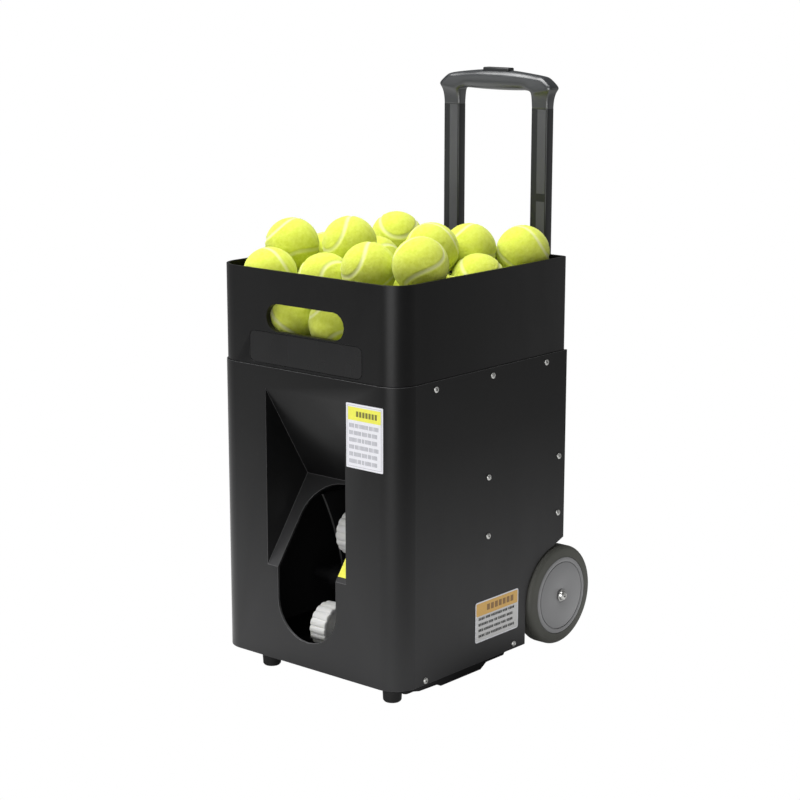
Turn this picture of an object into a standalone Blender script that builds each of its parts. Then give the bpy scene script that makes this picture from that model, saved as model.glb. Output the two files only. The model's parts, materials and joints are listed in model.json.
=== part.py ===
"""Tennis ball machine: hopper, ball feed, two-wheel launcher and trolley, as separate named pieces.

Metres, +Z up. The machine throws towards -Y. It stands on the ground plane z = 0, and the origin is
under the middle of its overall box. The casing is modelled in its own frame, with x and y from the
casing's middle and z from its lower edge; the empty "casing_datum" carries that frame. Left and right
are as seen by someone who stands in front of the machine, so left is -X.
"""
import math

import bmesh
import bpy
from mathutils import Matrix, Vector

# Casing
WIDTH = 0.290
DEPTH = 0.320
SEAM_HEIGHT = 0.363
RIM_HEIGHT = 0.479
FRONT_RADIUS = 0.030
REAR_RADIUS = 0.004
WALL = 0.0032
GAP = 0.0003
GROUND_CLEARANCE = 0.0145
FRONT = -DEPTH / 2
REAR = DEPTH / 2
SIDE = WIDTH / 2
INNER_SIDE = SIDE - WALL - GAP
INNER_FRONT = FRONT + WALL + GAP

# Throwing port in the front: a wedge-shaped funnel and a long round-ended slot
FUNNEL_HALF_WIDTH = 0.0635
FUNNEL_TOP = 0.337
FUNNEL_BOTTOM = 0.1187
FUNNEL_APEX = (-0.088, 0.2193)
SLOT_RADIUS = 0.047
SLOT_FOOT = 0.079
SLOT_ARCH = 0.072

# Hopper
HOPPER_INSET = 0.001
HOPPER_WALL = 0.0035
SKIRT_BOTTOM = 0.345
GRIP_SLOT_HALF = 0.0615
GRIP_SLOT_HEIGHT = 0.033
GRIP_SLOT_LEVEL = 0.4232
PLATE_RECESS_HALF = 0.0895
PLATE_RECESS = (0.3665, 0.405)
PLATE_RECESS_DEPTH = 0.001
PLATE_RECESS_CORNER = 0.008
HOPPER_FLOOR_RIM = 0.352
HOPPER_FLOOR_WALL = 0.0022

# Transport wheels
AXLE_Y = 0.149
AXLE_Z = 0.0489
AXLE_RADIUS = 0.005
TYRE_RADIUS = 0.0634
TYRE_INNER = 0.0460
HUB_RADIUS = 0.0493
HUB_FACE = 0.1512
HUB_DISH = 0.0045
TYRE_SPAN = (0.1245, 0.1505)
ARCH_RADIUS = 0.0665
WELL_X = 0.1183
REAR_NOTCH_HEIGHT = 0.123

# Ball feed
PAN_Y = 0.046
PAN_RADIUS = 0.100
PAN_FLOOR = 0.275
PAN_TOP = 0.328
POCKET_CIRCLE = 0.063
POCKET_RADIUS = 0.036
POCKETS = 5
DROP_Y = PAN_Y - POCKET_CIRCLE
DROP_RADIUS = 0.0365
DROP_TUBE_BOTTOM = 0.218
DROP_TUBE_WALL = 0.0022
BAFFLE_LEVEL = 0.3472
BAFFLE_FRONT = -0.122
BAFFLE_THICKNESS = 0.0025
ROTOR_RADIUS = 0.090
ROTOR_SPAN = (PAN_FLOOR + 0.002, PAN_FLOOR + 0.038)

# Launcher
YAW_Y = -0.030
PITCH_Z = 0.072
THROW_RADIUS = 0.0276
THROW_LOBES = 18
THROW_LOBE_HEIGHT = 0.0009
THROW_HALF_WIDTH = 0.012
THROW_MOTOR_RADIUS = 0.022
UPPER_WHEEL = (-0.0665, 0.1500)
LOWER_WHEEL = (-0.1145, 0.0430)
CHEEK = 0.0385
CHEEK_THICKNESS = 0.003
MOTOR_PLATE_THICKNESS = 0.004
TURNTABLE_RADIUS = 0.055
CRADLE_ARM = (0.048, 0.052)
CRADLE_HALF_DEPTH = 0.015
CRADLE_FLOOR = (0.0113, 0.0150)
ROLLER_RADIUS = 0.012

# Trolley handle
HANDLE_Y = 0.2018
HANDLE_X = 0.070
TUBE_WIDTH = 0.0255
TUBE_DEPTH = 0.0135
TUBE_WALL = 0.0015
GUIDE_WALL = 0.0016
HANDLE_TOP = 0.6965
GRIP_BOTTOM = 0.6725
GRIP_FOOT = 0.652
GRIP_HALF = 0.090
GRIP_DEPTH = 0.0235
BUTTON_HALF = 0.0205
BUTTON_RISE = 0.0027
TUBE_BOTTOM = 0.330
GUIDE_BOTTOM = 0.095
GUIDE_TOP = 0.400

# Control panel
PANEL_DEPTH = 0.022
PANEL_HALF = 0.048
PANEL_SPAN = (0.222, 0.322)
KNOB_X = 0.022
KNOB_LEVEL = 0.296
SWITCH_LEVEL = 0.248
SWITCH_X = -0.022
SOCKET_X = 0.012
BUTTON_X = 0.034

# Shafts and pins
SHAFT_RADIUS = 0.004
SHAFT_BORE = 0.0045

# Battery, strapped to the floor plate
BATTERY_LOW = (-0.0755, 0.045, 0.0043)
BATTERY_HIGH = (0.0755, 0.139, 0.099)

# Labels
LABEL_PROUD = 0.0008
FRONT_LABEL_START = 0.066
FRONT_LABEL_WRAP = 0.0065
FRONT_LABEL_SPAN = (0.2622, 0.3384)
SIDE_LABEL = ((-0.0176, 0.0262), (0.0668, 0.0772))
PORT_LABEL = ((0.0480, 0.0068), (0.0615, 0.0468))

OVERALL_FRONT = FRONT - LABEL_PROUD
OVERALL_REAR = max(AXLE_Y + TYRE_RADIUS, HANDLE_Y + GRIP_DEPTH / 2)
CASING_Y = -(OVERALL_FRONT + OVERALL_REAR) / 2

SIDES = {"left": -1, "right": 1}

for old in list(bpy.data.objects):
    bpy.data.objects.remove(old, do_unlink=True)

PARTS = bpy.data.collections.new("tennis_ball_machine")
CUTTERS = bpy.data.collections.new("cutters")
bpy.context.scene.collection.children.link(PARTS)
bpy.context.scene.collection.children.link(CUTTERS)


# Materials

def material(name, colour, roughness, metallic=0.0):
    """A Principled material with one colour."""
    made = bpy.data.materials.new(name)
    made.use_nodes = True
    shader = made.node_tree.nodes["Principled BSDF"]
    shader.inputs["Base Color"].default_value = (*colour, 1.0)
    shader.inputs["Roughness"].default_value = roughness
    shader.inputs["Metallic"].default_value = metallic
    return made


BLACK = material("casing_black", (0.022, 0.022, 0.023), 0.48)
DARK = material("inner_black", (0.012, 0.012, 0.013), 0.6)
RUBBER = material("tyre_grey", (0.075, 0.077, 0.070), 0.75)
HUB_GREY = material("hub_grey", (0.21, 0.21, 0.215), 0.45)
WHITE = material("throwing_wheel_white", (0.78, 0.78, 0.76), 0.5)
STEEL = material("steel", (0.55, 0.55, 0.56), 0.32, 1.0)
MOTOR = material("motor_can", (0.18, 0.18, 0.19), 0.4, 1.0)
BOARD = material("board_green", (0.02, 0.12, 0.06), 0.5)
LABEL = material("label_white", (0.8, 0.8, 0.78), 0.5)
LABEL_YELLOW = material("label_yellow", (0.75, 0.72, 0.12), 0.5)
RED = material("switch_red", (0.45, 0.02, 0.02), 0.35)
GREY = material("knob_grey", (0.11, 0.11, 0.115), 0.5)


# Frames

def empty(name, location, parent=None):
    """An empty that marks a frame or a joint's axis."""
    mark = bpy.data.objects.new(name, None)
    mark.empty_display_size = 0.03
    mark.location = location
    mark.parent = parent
    PARTS.objects.link(mark)
    return mark


DATUM = empty("casing_datum", (0, CASING_Y, GROUND_CLEARANCE))
PITCH_AXIS = empty("pitch_axis", (0, YAW_Y, PITCH_Z), DATUM)
YAW_AXIS = empty("yaw_axis", (0, YAW_Y, 0), DATUM)
HANDLE_AXIS = empty("handle_axis", (0, HANDLE_Y, GUIDE_TOP), DATUM)
PANEL_FACE = empty("panel_face", (0, REAR, 0.265), DATUM)


def ride(piece, mark):
    """Parents a piece to a frame and leaves its place in the casing's frame as it is."""
    piece.parent = mark
    piece.matrix_parent_inverse = Matrix.Translation(-mark.location)
    return piece


# Shapes

def stand(name, mesh, finish, location=(0, 0, 0), rotation=(0, 0, 0), angle=40):
    """Puts a mesh in the scene as a part, or as a cutter where it has no finish."""
    piece = bpy.data.objects.new(name, mesh)
    piece.location = location
    piece.rotation_euler = rotation
    piece.parent = DATUM
    mesh.shade_smooth()
    mesh.set_sharp_from_angle(angle=math.radians(angle))
    if finish is None:
        CUTTERS.objects.link(piece)
        piece.hide_render = True
        piece.display_type = "WIRE"
    else:
        PARTS.objects.link(piece)
        mesh.materials.append(finish)
    return piece


def round_edges(piece, width, segments=2):
    """Rounds the sharp edges of a piece."""
    bevel = piece.modifiers.new("round_edges", "BEVEL")
    bevel.width = width
    bevel.segments = segments
    bevel.limit_method = "ANGLE"
    bevel.angle_limit = math.radians(40)
    return piece


def combine(piece, other, operation="DIFFERENCE"):
    """Cuts another shape out of a piece, or joins it to the piece; the other shape is a cutter."""
    boolean = piece.modifiers.new(operation.lower(), "BOOLEAN")
    boolean.operation = operation
    boolean.object = other
    boolean.solver = "EXACT"
    return piece


def to_mesh(name, work):
    """A named mesh from a bmesh, which is freed."""
    mesh = bpy.data.meshes.new(name)
    work.to_mesh(mesh)
    work.free()
    return mesh


def box(name, low, high, finish, edge=0.0):
    """A box between two corners, with its origin at its middle."""
    low, high = Vector(low), Vector(high)
    work = bmesh.new()
    bmesh.ops.create_cube(work, size=1.0)
    bmesh.ops.scale(work, vec=high - low, verts=work.verts)
    piece = stand(name, to_mesh(name, work), finish, (low + high) / 2)
    return round_edges(piece, edge) if edge else piece


AXIS_TURNS = {"X": (0, math.pi / 2, 0), "Y": (-math.pi / 2, 0, 0), "Z": (0, 0, 0)}


def rod(name, centre, axis, radius, length, finish, sides=32, edge=0.0):
    """A round bar about one of the axes, with its origin at its middle."""
    work = bmesh.new()
    bmesh.ops.create_cone(
        work, cap_ends=True, segments=sides, radius1=radius, radius2=radius, depth=length
    )
    piece = stand(name, to_mesh(name, work), finish, centre, AXIS_TURNS[axis])
    return round_edges(piece, edge) if edge else piece


def turned(name, profile, location, axis, finish, steps=40, closed=False):
    """A turned piece. The profile is (radius, height) down its outer side, and back up inside if closed."""
    work = bmesh.new()
    points = [work.verts.new((radius, 0, height)) for radius, height in profile]
    for first, second in zip(points, points[1:]):
        work.edges.new((first, second))
    if closed:
        work.edges.new((points[-1], points[0]))
    piece = stand(name, to_mesh(name, work), finish, location, AXIS_TURNS[axis])
    screw = piece.modifiers.new("turn", "SCREW")
    screw.axis = "Z"
    screw.angle = math.tau
    screw.steps = steps
    screw.render_steps = steps
    screw.use_merge_vertices = True
    screw.merge_threshold = 0.00005
    screw.use_smooth_shade = True
    return piece


# A plate's local x, y and z in the casing's frame, for the plane that it lies in
PLANE_TURNS = {
    "XY": Matrix(((1, 0, 0), (0, 1, 0), (0, 0, 1))),
    "XZ": Matrix(((1, 0, 0), (0, 0, -1), (0, 1, 0))),
    "YZ": Matrix(((0, 0, 1), (1, 0, 0), (0, 1, 0))),
}


def plate(name, outlines, plane, low, high, finish, origin=None, edge=0.0):
    """A flat piece in a plane, from low to high across it; outlines after the first are holes."""
    curve = bpy.data.curves.new(name, "CURVE")
    curve.dimensions = "2D"
    curve.fill_mode = "BOTH"
    curve.extrude = (high - low) / 2
    for outline in outlines:
        spline = curve.splines.new("POLY")
        spline.points.add(len(outline) - 1)
        for point, (across, up) in zip(spline.points, outline):
            point.co = (across, up, 0, 1)
        spline.use_cyclic_u = True
    drawn = bpy.data.objects.new(name + "_outline", curve)
    bpy.context.scene.collection.objects.link(drawn)
    bpy.context.view_layer.update()
    seen = drawn.evaluated_get(bpy.context.evaluated_depsgraph_get())
    mesh = bpy.data.meshes.new_from_object(seen)
    bpy.data.objects.remove(drawn)
    bpy.data.curves.remove(curve)
    work = bmesh.new()
    work.from_mesh(mesh)
    bmesh.ops.remove_doubles(work, verts=work.verts, dist=0.00001)
    bmesh.ops.recalc_face_normals(work, faces=work.faces)
    work.to_mesh(mesh)
    work.free()
    mesh.name = name
    middle = Vector((0, 0, (low + high) / 2))
    turn = PLANE_TURNS[plane]
    shift = turn @ middle
    if plane == "XZ":
        shift = -shift
    centre = Vector(origin) if origin else shift
    mesh.transform(Matrix.Translation(shift - centre) @ turn.to_4x4())
    piece = stand(name, mesh, finish, centre)
    return round_edges(piece, edge) if edge else piece


def arc(centre, radius, start, end, count):
    """Points on an arc, with angles in degrees."""
    angles = [math.radians(start + (end - start) * i / count) for i in range(count + 1)]
    return [(centre[0] + radius * math.cos(a), centre[1] + radius * math.sin(a)) for a in angles]


def rounded_box(half_x, front, rear, front_radius, rear_radius, count=7):
    """A box's outline with round corners, anticlockwise from its left corner at the front or bottom."""
    return (
        arc((-half_x + front_radius, front + front_radius), front_radius, 180, 270, count)
        + arc((half_x - front_radius, front + front_radius), front_radius, 270, 360, count)
        + arc((half_x - rear_radius, rear - rear_radius), rear_radius, 0, 90, 3)
        + arc((-half_x + rear_radius, rear - rear_radius), rear_radius, 90, 180, 3)
    )


def rectangle(low, high):
    """The corners of a rectangle."""
    return [low, (high[0], low[1]), high, (low[0], high[1])]


def stadium(centre, half_length, radius, count=8):
    """A long outline with round ends, along the first axis."""
    reach = half_length - radius
    return arc((centre[0] + reach, centre[1]), radius, -90, 90, count) + arc(
        (centre[0] - reach, centre[1]), radius, 90, 270, count
    )


def circle(centre, radius, count=24):
    """A round outline."""
    return arc(centre, radius, 0, 360 - 360 / count, count - 1)


# Casing

def offset_line(start, end, distance, y):
    """The height at y of the line through two points, moved to its right by a distance."""
    along = Vector((end[0] - start[0], end[1] - start[1])).normalized()
    across = Vector((-along.y, along.x))
    anchor = Vector(start) + across * distance
    return anchor.y + (y - anchor.x) * along.y / along.x


def funnel_walls():
    """The funnel's outer wedge, a wall's thickness outside its hollow."""
    top, bottom = (FRONT, FUNNEL_TOP), (FRONT, FUNNEL_BOTTOM)
    inside = FRONT + WALL / 2
    apex_y = FUNNEL_APEX[0] + WALL * 1.18
    apex_z = offset_line(top, FUNNEL_APEX, WALL, apex_y)
    return [
        (inside, offset_line(top, FUNNEL_APEX, WALL, inside)),
        (inside, offset_line(bottom, FUNNEL_APEX, -WALL, inside)),
        (apex_y, apex_z),
    ]


def port_slope():
    """The angle that the funnel's lower wall rises at, going in."""
    return math.atan2(FUNNEL_APEX[1] - FUNNEL_BOTTOM, FUNNEL_APEX[0] - FRONT)


def front_shell():
    """The wrap-around front and sides, with the funnel, the throwing slot and the wheel cut-outs."""
    outer = (
        arc((-SIDE + FRONT_RADIUS, FRONT + FRONT_RADIUS), FRONT_RADIUS, 180, 270, 8)
        + arc((SIDE - FRONT_RADIUS, FRONT + FRONT_RADIUS), FRONT_RADIUS, 270, 360, 8)
    )
    inner_radius = FRONT_RADIUS - WALL
    inner = (
        arc((SIDE - FRONT_RADIUS, FRONT + FRONT_RADIUS), inner_radius, 360, 270, 8)
        + arc((-SIDE + FRONT_RADIUS, FRONT + FRONT_RADIUS), inner_radius, 270, 180, 8)
    )
    outline = (
        [(-SIDE, REAR)]
        + outer
        + [(SIDE, REAR), (SIDE - WALL, REAR)]
        + inner
        + [(-SIDE + WALL, REAR)]
    )
    shell = plate("front_shell", [outline], "XY", 0, SEAM_HEIGHT, BLACK)
    reach = FUNNEL_HALF_WIDTH + WALL
    combine(shell, plate("funnel_solid", [funnel_walls()], "YZ", -reach, reach, None), "UNION")
    ahead = FRONT - 0.01
    hollow = [
        (ahead, FUNNEL_TOP),
        (FRONT, FUNNEL_TOP),
        FUNNEL_APEX,
        (FRONT, FUNNEL_BOTTOM),
        (ahead, FUNNEL_BOTTOM),
    ]
    width = FUNNEL_HALF_WIDTH
    combine(shell, plate("funnel_hollow", [hollow], "YZ", -width, width, None))
    lower = arc((0, SLOT_FOOT), SLOT_RADIUS, 180, 360, 16)
    lower = lower + [(SLOT_RADIUS, FUNNEL_BOTTOM), (-SLOT_RADIUS, FUNNEL_BOTTOM)]
    combine(shell, plate("slot_foot_cut", [lower], "XZ", ahead, FRONT + 0.012, None))
    arch = arc((0, SLOT_ARCH), SLOT_RADIUS, 0, 180, 16)
    arch = arch + [(-SLOT_RADIUS, -0.004), (SLOT_RADIUS, -0.004)]
    arch_cut = plate("slot_arch_cut", [arch], "XY", -0.012, 0.006, None, origin=(0, 0, 0))
    arch_cut.rotation_euler = (port_slope(), 0, 0)
    arch_cut.location = (0, FRONT, FUNNEL_BOTTOM)
    combine(shell, arch_cut)
    for cut in wheel_cuts(SIDE + 0.01):
        combine(shell, cut)
    return shell


def wheel_cuts(reach):
    """Cutters for both wheel arches: the round arch, the open foot below it and the rear notch."""
    foot = rectangle((AXLE_Y - ARCH_RADIUS, -0.01), (REAR + 0.01, AXLE_Z))
    notch = [
        (AXLE_Y - 0.009, AXLE_Z + ARCH_RADIUS),
        (REAR + 0.01, REAR_NOTCH_HEIGHT + 0.003),
        (REAR + 0.01, AXLE_Z),
        (AXLE_Y, AXLE_Z),
    ]
    return [
        rod("wheel_arch_cut", (0, AXLE_Y, AXLE_Z), "X", ARCH_RADIUS, 2 * reach, None, 64),
        plate("wheel_foot_cut", [foot], "YZ", -reach, reach, None),
        plate("wheel_notch_cut", [notch], "YZ", -reach, reach, None),
    ]


def rear_cover():
    """The flat rear cover, cut back above the wheels, with vents and the panel's opening."""
    outline = [
        (-INNER_SIDE, REAR_NOTCH_HEIGHT),
        (-WELL_X, REAR_NOTCH_HEIGHT),
        (-WELL_X, 0.001),
        (WELL_X, 0.001),
        (WELL_X, REAR_NOTCH_HEIGHT),
        (INNER_SIDE, REAR_NOTCH_HEIGHT),
        (INNER_SIDE, SEAM_HEIGHT - GAP),
        (-INNER_SIDE, SEAM_HEIGHT - GAP),
    ]
    holes = [stadium((0, 0.150 + 0.012 * row), 0.036, 0.003, 4) for row in range(5)]
    return plate("rear_cover", [outline] + holes, "XZ", REAR - WALL, REAR, BLACK)


def base_plate():
    """The floor plate inside the casing, narrower between the wheels."""
    wide, narrow, step = INNER_SIDE, WELL_X, AXLE_Y - ARCH_RADIUS - 0.005
    corner = FRONT_RADIUS - WALL - GAP
    outline = (
        arc((-wide + corner, INNER_FRONT + corner), corner, 180, 270, 6)
        + arc((wide - corner, INNER_FRONT + corner), corner, 270, 360, 6)
        + [(wide, step), (narrow, step), (narrow, REAR - WALL - GAP)]
        + [(-narrow, REAR - WALL - GAP), (-narrow, step), (-wide, step)]
    )
    return plate("base_plate", [outline], "XY", 0.001, 0.004, DARK)


def belly_pan():
    """The shallow pan under the floor plate, deeper in its middle."""
    outline = [
        (-0.134, 0.0),
        (-0.130, -0.005),
        (-0.117, -0.008),
        (-0.084, -0.009),
        (-0.077, -0.0125),
        (-0.001, -0.0125),
        (0.010, -0.006),
        (0.044, -0.006),
        (0.049, 0.0),
    ]
    pan = plate("belly_pan", [[(y, z + 0.0006) for y, z in outline]], "YZ", -0.1415, 0.1415, DARK)
    return round_edges(pan, 0.0012)


def feet():
    """The two rubber feet under the front edge."""
    profile = [
        (0.0, 0.0007),
        (0.0040, 0.0007),
        (0.0040, -0.0003),
        (0.0117, -0.0003),
        (0.0110, -0.0125),
        (0.0095, -GROUND_CLEARANCE),
        (0.0, -GROUND_CLEARANCE),
    ]
    for name, x in (("foot_left", -0.072), ("foot_right", 0.124)):
        turned(name, profile, (x, -0.1465, 0), "Z", RUBBER, 28)


def wheel_wells():
    """The inner walls beside the wheels, which carry the axle."""
    outline = rectangle((0.083, 0.0043), (REAR - WALL - GAP, 0.135))
    hole = circle((AXLE_Y, AXLE_Z), AXLE_RADIUS + GAP, 20)
    for side, sign in SIDES.items():
        near, far = sorted((sign * (WELL_X + GAP), sign * (WELL_X + WALL)))
        plate("wheel_well_" + side, [outline, hole], "YZ", near, far, DARK)


# Hopper

def hopper():
    """The open box that holds the balls, with a hand slot, a blank plate recess and a skirt."""
    half, front, rear = SIDE - HOPPER_INSET, FRONT + HOPPER_INSET, REAR - HOPPER_INSET
    body = plate(
        "hopper",
        [rounded_box(half, front, rear, FRONT_RADIUS, REAR_RADIUS + 0.002)],
        "XY",
        SEAM_HEIGHT + GAP,
        RIM_HEIGHT,
        BLACK,
    )
    skirt_half = INNER_SIDE - GAP
    skirt_front = INNER_FRONT + GAP
    skirt_rear = REAR - WALL - 2 * GAP
    corner = FRONT_RADIUS - WALL - 2 * GAP
    skirt = rounded_box(skirt_half, skirt_front, skirt_rear, corner, 0.003)
    combine(body, plate("skirt", [skirt], "XY", SKIRT_BOTTOM, SEAM_HEIGHT + 0.004, None), "UNION")
    inner_half = skirt_half - WALL
    throat = rounded_box(inner_half, skirt_front + WALL, skirt_rear - WALL, corner - WALL, 0.003)
    combine(body, plate("throat", [throat], "XY", SKIRT_BOTTOM - 0.01, RIM_HEIGHT + 0.01, None))
    hollow = rounded_box(
        half - HOPPER_WALL,
        front + HOPPER_WALL,
        rear - HOPPER_WALL,
        FRONT_RADIUS - HOPPER_WALL,
        REAR_RADIUS,
    )
    combine(body, plate("hollow", [hollow], "XY", SEAM_HEIGHT + 0.006, RIM_HEIGHT + 0.01, None))
    slot = stadium((0, GRIP_SLOT_LEVEL), GRIP_SLOT_HALF, GRIP_SLOT_HEIGHT / 2)
    combine(body, plate("hand_slot", [slot], "XZ", front - 0.01, front + 0.01, None))
    low, high = PLATE_RECESS
    corner = PLATE_RECESS_CORNER
    recess = rounded_box(PLATE_RECESS_HALF, low, high, corner, corner, 3)
    depth = front + PLATE_RECESS_DEPTH
    combine(body, plate("plate_recess", [recess], "XZ", front - 0.01, depth, None))
    return body


def hopper_floor():
    """The dished floor that leads the balls from the square hopper to the round feed pan."""
    count = 48
    outer_x, outer_front, outer_rear = 0.1366, -0.1518, 0.1515
    squareness = 10
    work = bmesh.new()
    rim, mouth = [], []
    for i in range(count):
        angle = math.tau * i / count
        across, along = math.cos(angle), math.sin(angle)
        reach_y = (outer_rear if along > 0 else outer_front) - PAN_Y
        stretch = (across / outer_x) ** squareness + (along / reach_y) ** squareness
        stretch = stretch ** (1 / squareness)
        place = (across / stretch, PAN_Y + along / stretch, HOPPER_FLOOR_RIM)
        rim.append(work.verts.new(place))
        radius = PAN_RADIUS + 0.0035
        mouth.append(work.verts.new((across * radius, PAN_Y + along * radius, PAN_TOP + 0.003)))
    for i in range(count):
        j = (i + 1) % count
        work.faces.new((rim[i], mouth[i], mouth[j], rim[j]))
    bmesh.ops.recalc_face_normals(work, faces=work.faces)
    piece = stand("hopper_floor", to_mesh("hopper_floor", work), DARK)
    solid = piece.modifiers.new("thickness", "SOLIDIFY")
    solid.thickness = HOPPER_FLOOR_WALL
    solid.offset = 0
    return piece


def feed_pan():
    """The round pan that the feed rotor turns in, with the drop hole."""
    outer = PAN_RADIUS + WALL
    profile = [
        (outer, PAN_TOP),
        (outer, PAN_FLOOR - WALL),
        (0.006, PAN_FLOOR - WALL),
        (0.006, PAN_FLOOR),
        (PAN_RADIUS, PAN_FLOOR),
        (PAN_RADIUS, PAN_TOP),
    ]
    pan = turned("feed_pan", profile, (0, PAN_Y, 0), "Z", DARK, 48, closed=True)
    hole = rod("drop_hole_cut", (0, DROP_Y, PAN_FLOOR), "Z", DROP_RADIUS, 0.03, None, 32)
    return combine(pan, hole)


def feed_rotor():
    """The star that carries balls round to the drop hole, and its shaft."""
    low, high = ROTOR_SPAN
    rotor = rod("feed_rotor", (0, PAN_Y, (low + high) / 2), "Z", ROTOR_RADIUS, high - low, GREY, 60)
    for i in range(POCKETS):
        angle = math.tau * i / POCKETS - math.pi / 2
        place = (
            POCKET_CIRCLE * math.cos(angle),
            PAN_Y + POCKET_CIRCLE * math.sin(angle),
            (low + high) / 2,
        )
        combine(rotor, rod(f"pocket_cut_{i}", place, "Z", POCKET_RADIUS, 0.06, None, 32))
    combine(rotor, rod("rotor_bore_cut", (0, PAN_Y, (low + high) / 2), "Z", SHAFT_BORE, 0.06, None, 16))
    foot = PAN_FLOOR - WALL - 0.025
    rod("feed_shaft", (0, PAN_Y, (foot + high) / 2), "Z", SHAFT_RADIUS, high - foot, STEEL, 16)
    return rotor


def feed_baffle():
    """The hood over the drop hole, which keeps a second ball from following the first."""
    half = DROP_RADIUS + 0.0015
    outline = arc((0, DROP_Y), half, 0, 180, 14) + [(-half, BAFFLE_FRONT), (half, BAFFLE_FRONT)]
    top = BAFFLE_LEVEL + BAFFLE_THICKNESS
    hood = plate("feed_baffle", [outline], "XY", BAFFLE_LEVEL, top, DARK)
    return round_edges(hood, 0.0008)


def feed_motor():
    """The gear motor under the pan."""
    top = PAN_FLOOR - WALL - GAP
    profile = [
        (0.0, top),
        (0.0228, top),
        (0.0228, top - 0.030),
        (0.0190, top - 0.031),
        (0.0190, top - 0.070),
        (0.0, top - 0.070),
    ]
    motor = turned("feed_motor", profile, (0, PAN_Y, 0), "Z", MOTOR, 28)
    bore = rod("feed_motor_bore_cut", (0, PAN_Y, top), "Z", SHAFT_BORE, 0.060, None, 16)
    return combine(motor, bore)


def drop_tube():
    """The short tube that leads a ball from the pan down to the launcher."""
    outer, inner = DROP_RADIUS + DROP_TUBE_WALL, DROP_RADIUS
    top = PAN_FLOOR - WALL - GAP
    profile = [
        (outer + 0.0012, top),
        (outer + 0.0012, top - 0.003),
        (outer, top - 0.003),
        (outer, DROP_TUBE_BOTTOM),
        (inner, DROP_TUBE_BOTTOM),
        (inner, top),
    ]
    return turned("drop_tube", profile, (0, DROP_Y, 0), "Z", DARK, 36, closed=True)


# Launcher

def throwing_wheel(name, place):
    """A white throwing wheel with a lobed rim, and the motor shaft that carries it."""
    points = THROW_LOBES * 6
    rim = []
    for i in range(points):
        angle = math.tau * i / points
        bump = abs(math.sin(angle * THROW_LOBES / 2))
        radius = THROW_RADIUS - THROW_LOBE_HEIGHT + 2 * THROW_LOBE_HEIGHT * bump
        rim.append((place[0] + radius * math.cos(angle), place[1] + radius * math.sin(angle)))
    bore = circle(place, SHAFT_BORE, 16)
    origin = (0, place[0], place[1])
    half = THROW_HALF_WIDTH
    wheel = plate("throwing_wheel_" + name, [rim, bore], "YZ", -half, half, WHITE, origin)
    middle = (0.0165, place[0], place[1])
    shaft = rod("throwing_shaft_" + name, middle, "X", SHAFT_RADIUS, 0.057, STEEL, 16)
    return ride(wheel, PITCH_AXIS), ride(shaft, PITCH_AXIS)


def throwing_motor(name, place):
    """A throwing wheel's motor, outside the motor plate."""
    face = CHEEK + MOTOR_PLATE_THICKNESS + GAP
    profile = [
        (0.0, 0.062),
        (0.012, 0.062),
        (0.012, 0.058),
        (THROW_MOTOR_RADIUS, 0.056),
        (THROW_MOTOR_RADIUS, 0.0),
        (0.0, 0.0),
    ]
    motor = turned("throwing_motor_" + name, profile, (face, place[0], place[1]), "X", MOTOR, 28)
    mouth = (face, place[0], place[1])
    bore = rod(name + "_motor_bore_cut", mouth, "X", SHAFT_BORE, 0.008, None, 16)
    return ride(combine(motor, bore), PITCH_AXIS)


def guide_plate():
    """The left cheek of the launcher; its front edge leans back as it comes down."""
    edge = []
    count = 6
    top, middle, bottom = Vector((-0.087, 0.196)), Vector((-0.062, 0.150)), Vector((-0.050, 0.092))
    for i in range(count + 1):
        t = i / count
        edge.append(tuple((1 - t) ** 2 * top + 2 * t * (1 - t) * middle + t * t * bottom))
    outline = edge + [(-0.050, 0.034), (0.022, 0.034), (0.022, 0.150), (-0.012, 0.196)]
    hole = circle((YAW_Y, PITCH_Z), SHAFT_BORE, 16)
    piece = plate("guide_plate", [outline, hole], "YZ", -CHEEK - CHEEK_THICKNESS, -CHEEK, GREY)
    return ride(piece, PITCH_AXIS)


def motor_plate():
    """The right cheek, which carries both motors."""
    outline = [
        (-0.140, 0.022),
        (-0.122, 0.016),
        (0.014, 0.034),
        (0.022, 0.042),
        (0.022, 0.150),
        (-0.030, 0.180),
        (-0.088, 0.180),
        (-0.100, 0.168),
        (-0.140, 0.062),
    ]
    holes = [circle(place, SHAFT_BORE, 16) for place in (UPPER_WHEEL, LOWER_WHEEL)]
    holes.append(circle((YAW_Y, PITCH_Z), SHAFT_BORE, 16))
    outside = CHEEK + MOTOR_PLATE_THICKNESS
    piece = plate("motor_plate", [outline] + holes, "YZ", CHEEK, outside, MOTOR)
    return ride(piece, PITCH_AXIS)


def ball_ramp():
    """The curved tray that the next ball rolls down to the wheels on, between the cheeks."""
    outline = [
        (-0.062, 0.0520),
        (-0.030, 0.0550),
        (0.000, 0.0640),
        (0.020, 0.0800),
        (0.020, 0.1400),
        (0.017, 0.1400),
        (0.017, 0.0810),
        (-0.002, 0.0668),
        (-0.030, 0.0580),
        (-0.062, 0.0550),
    ]
    reach = CHEEK - GAP
    return ride(plate("ball_ramp", [outline], "YZ", -reach, reach, GREY), PITCH_AXIS)


def pitch_pivots():
    """The shaft on the pitch motor's side and the pin on the other."""
    for name, sign in (("pitch_shaft", -1), ("pitch_pin", 1)):
        place = (sign * 0.0455, YAW_Y, PITCH_Z)
        ride(rod(name, place, "X", SHAFT_RADIUS, 0.0137, STEEL, 16), PITCH_AXIS)


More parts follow.
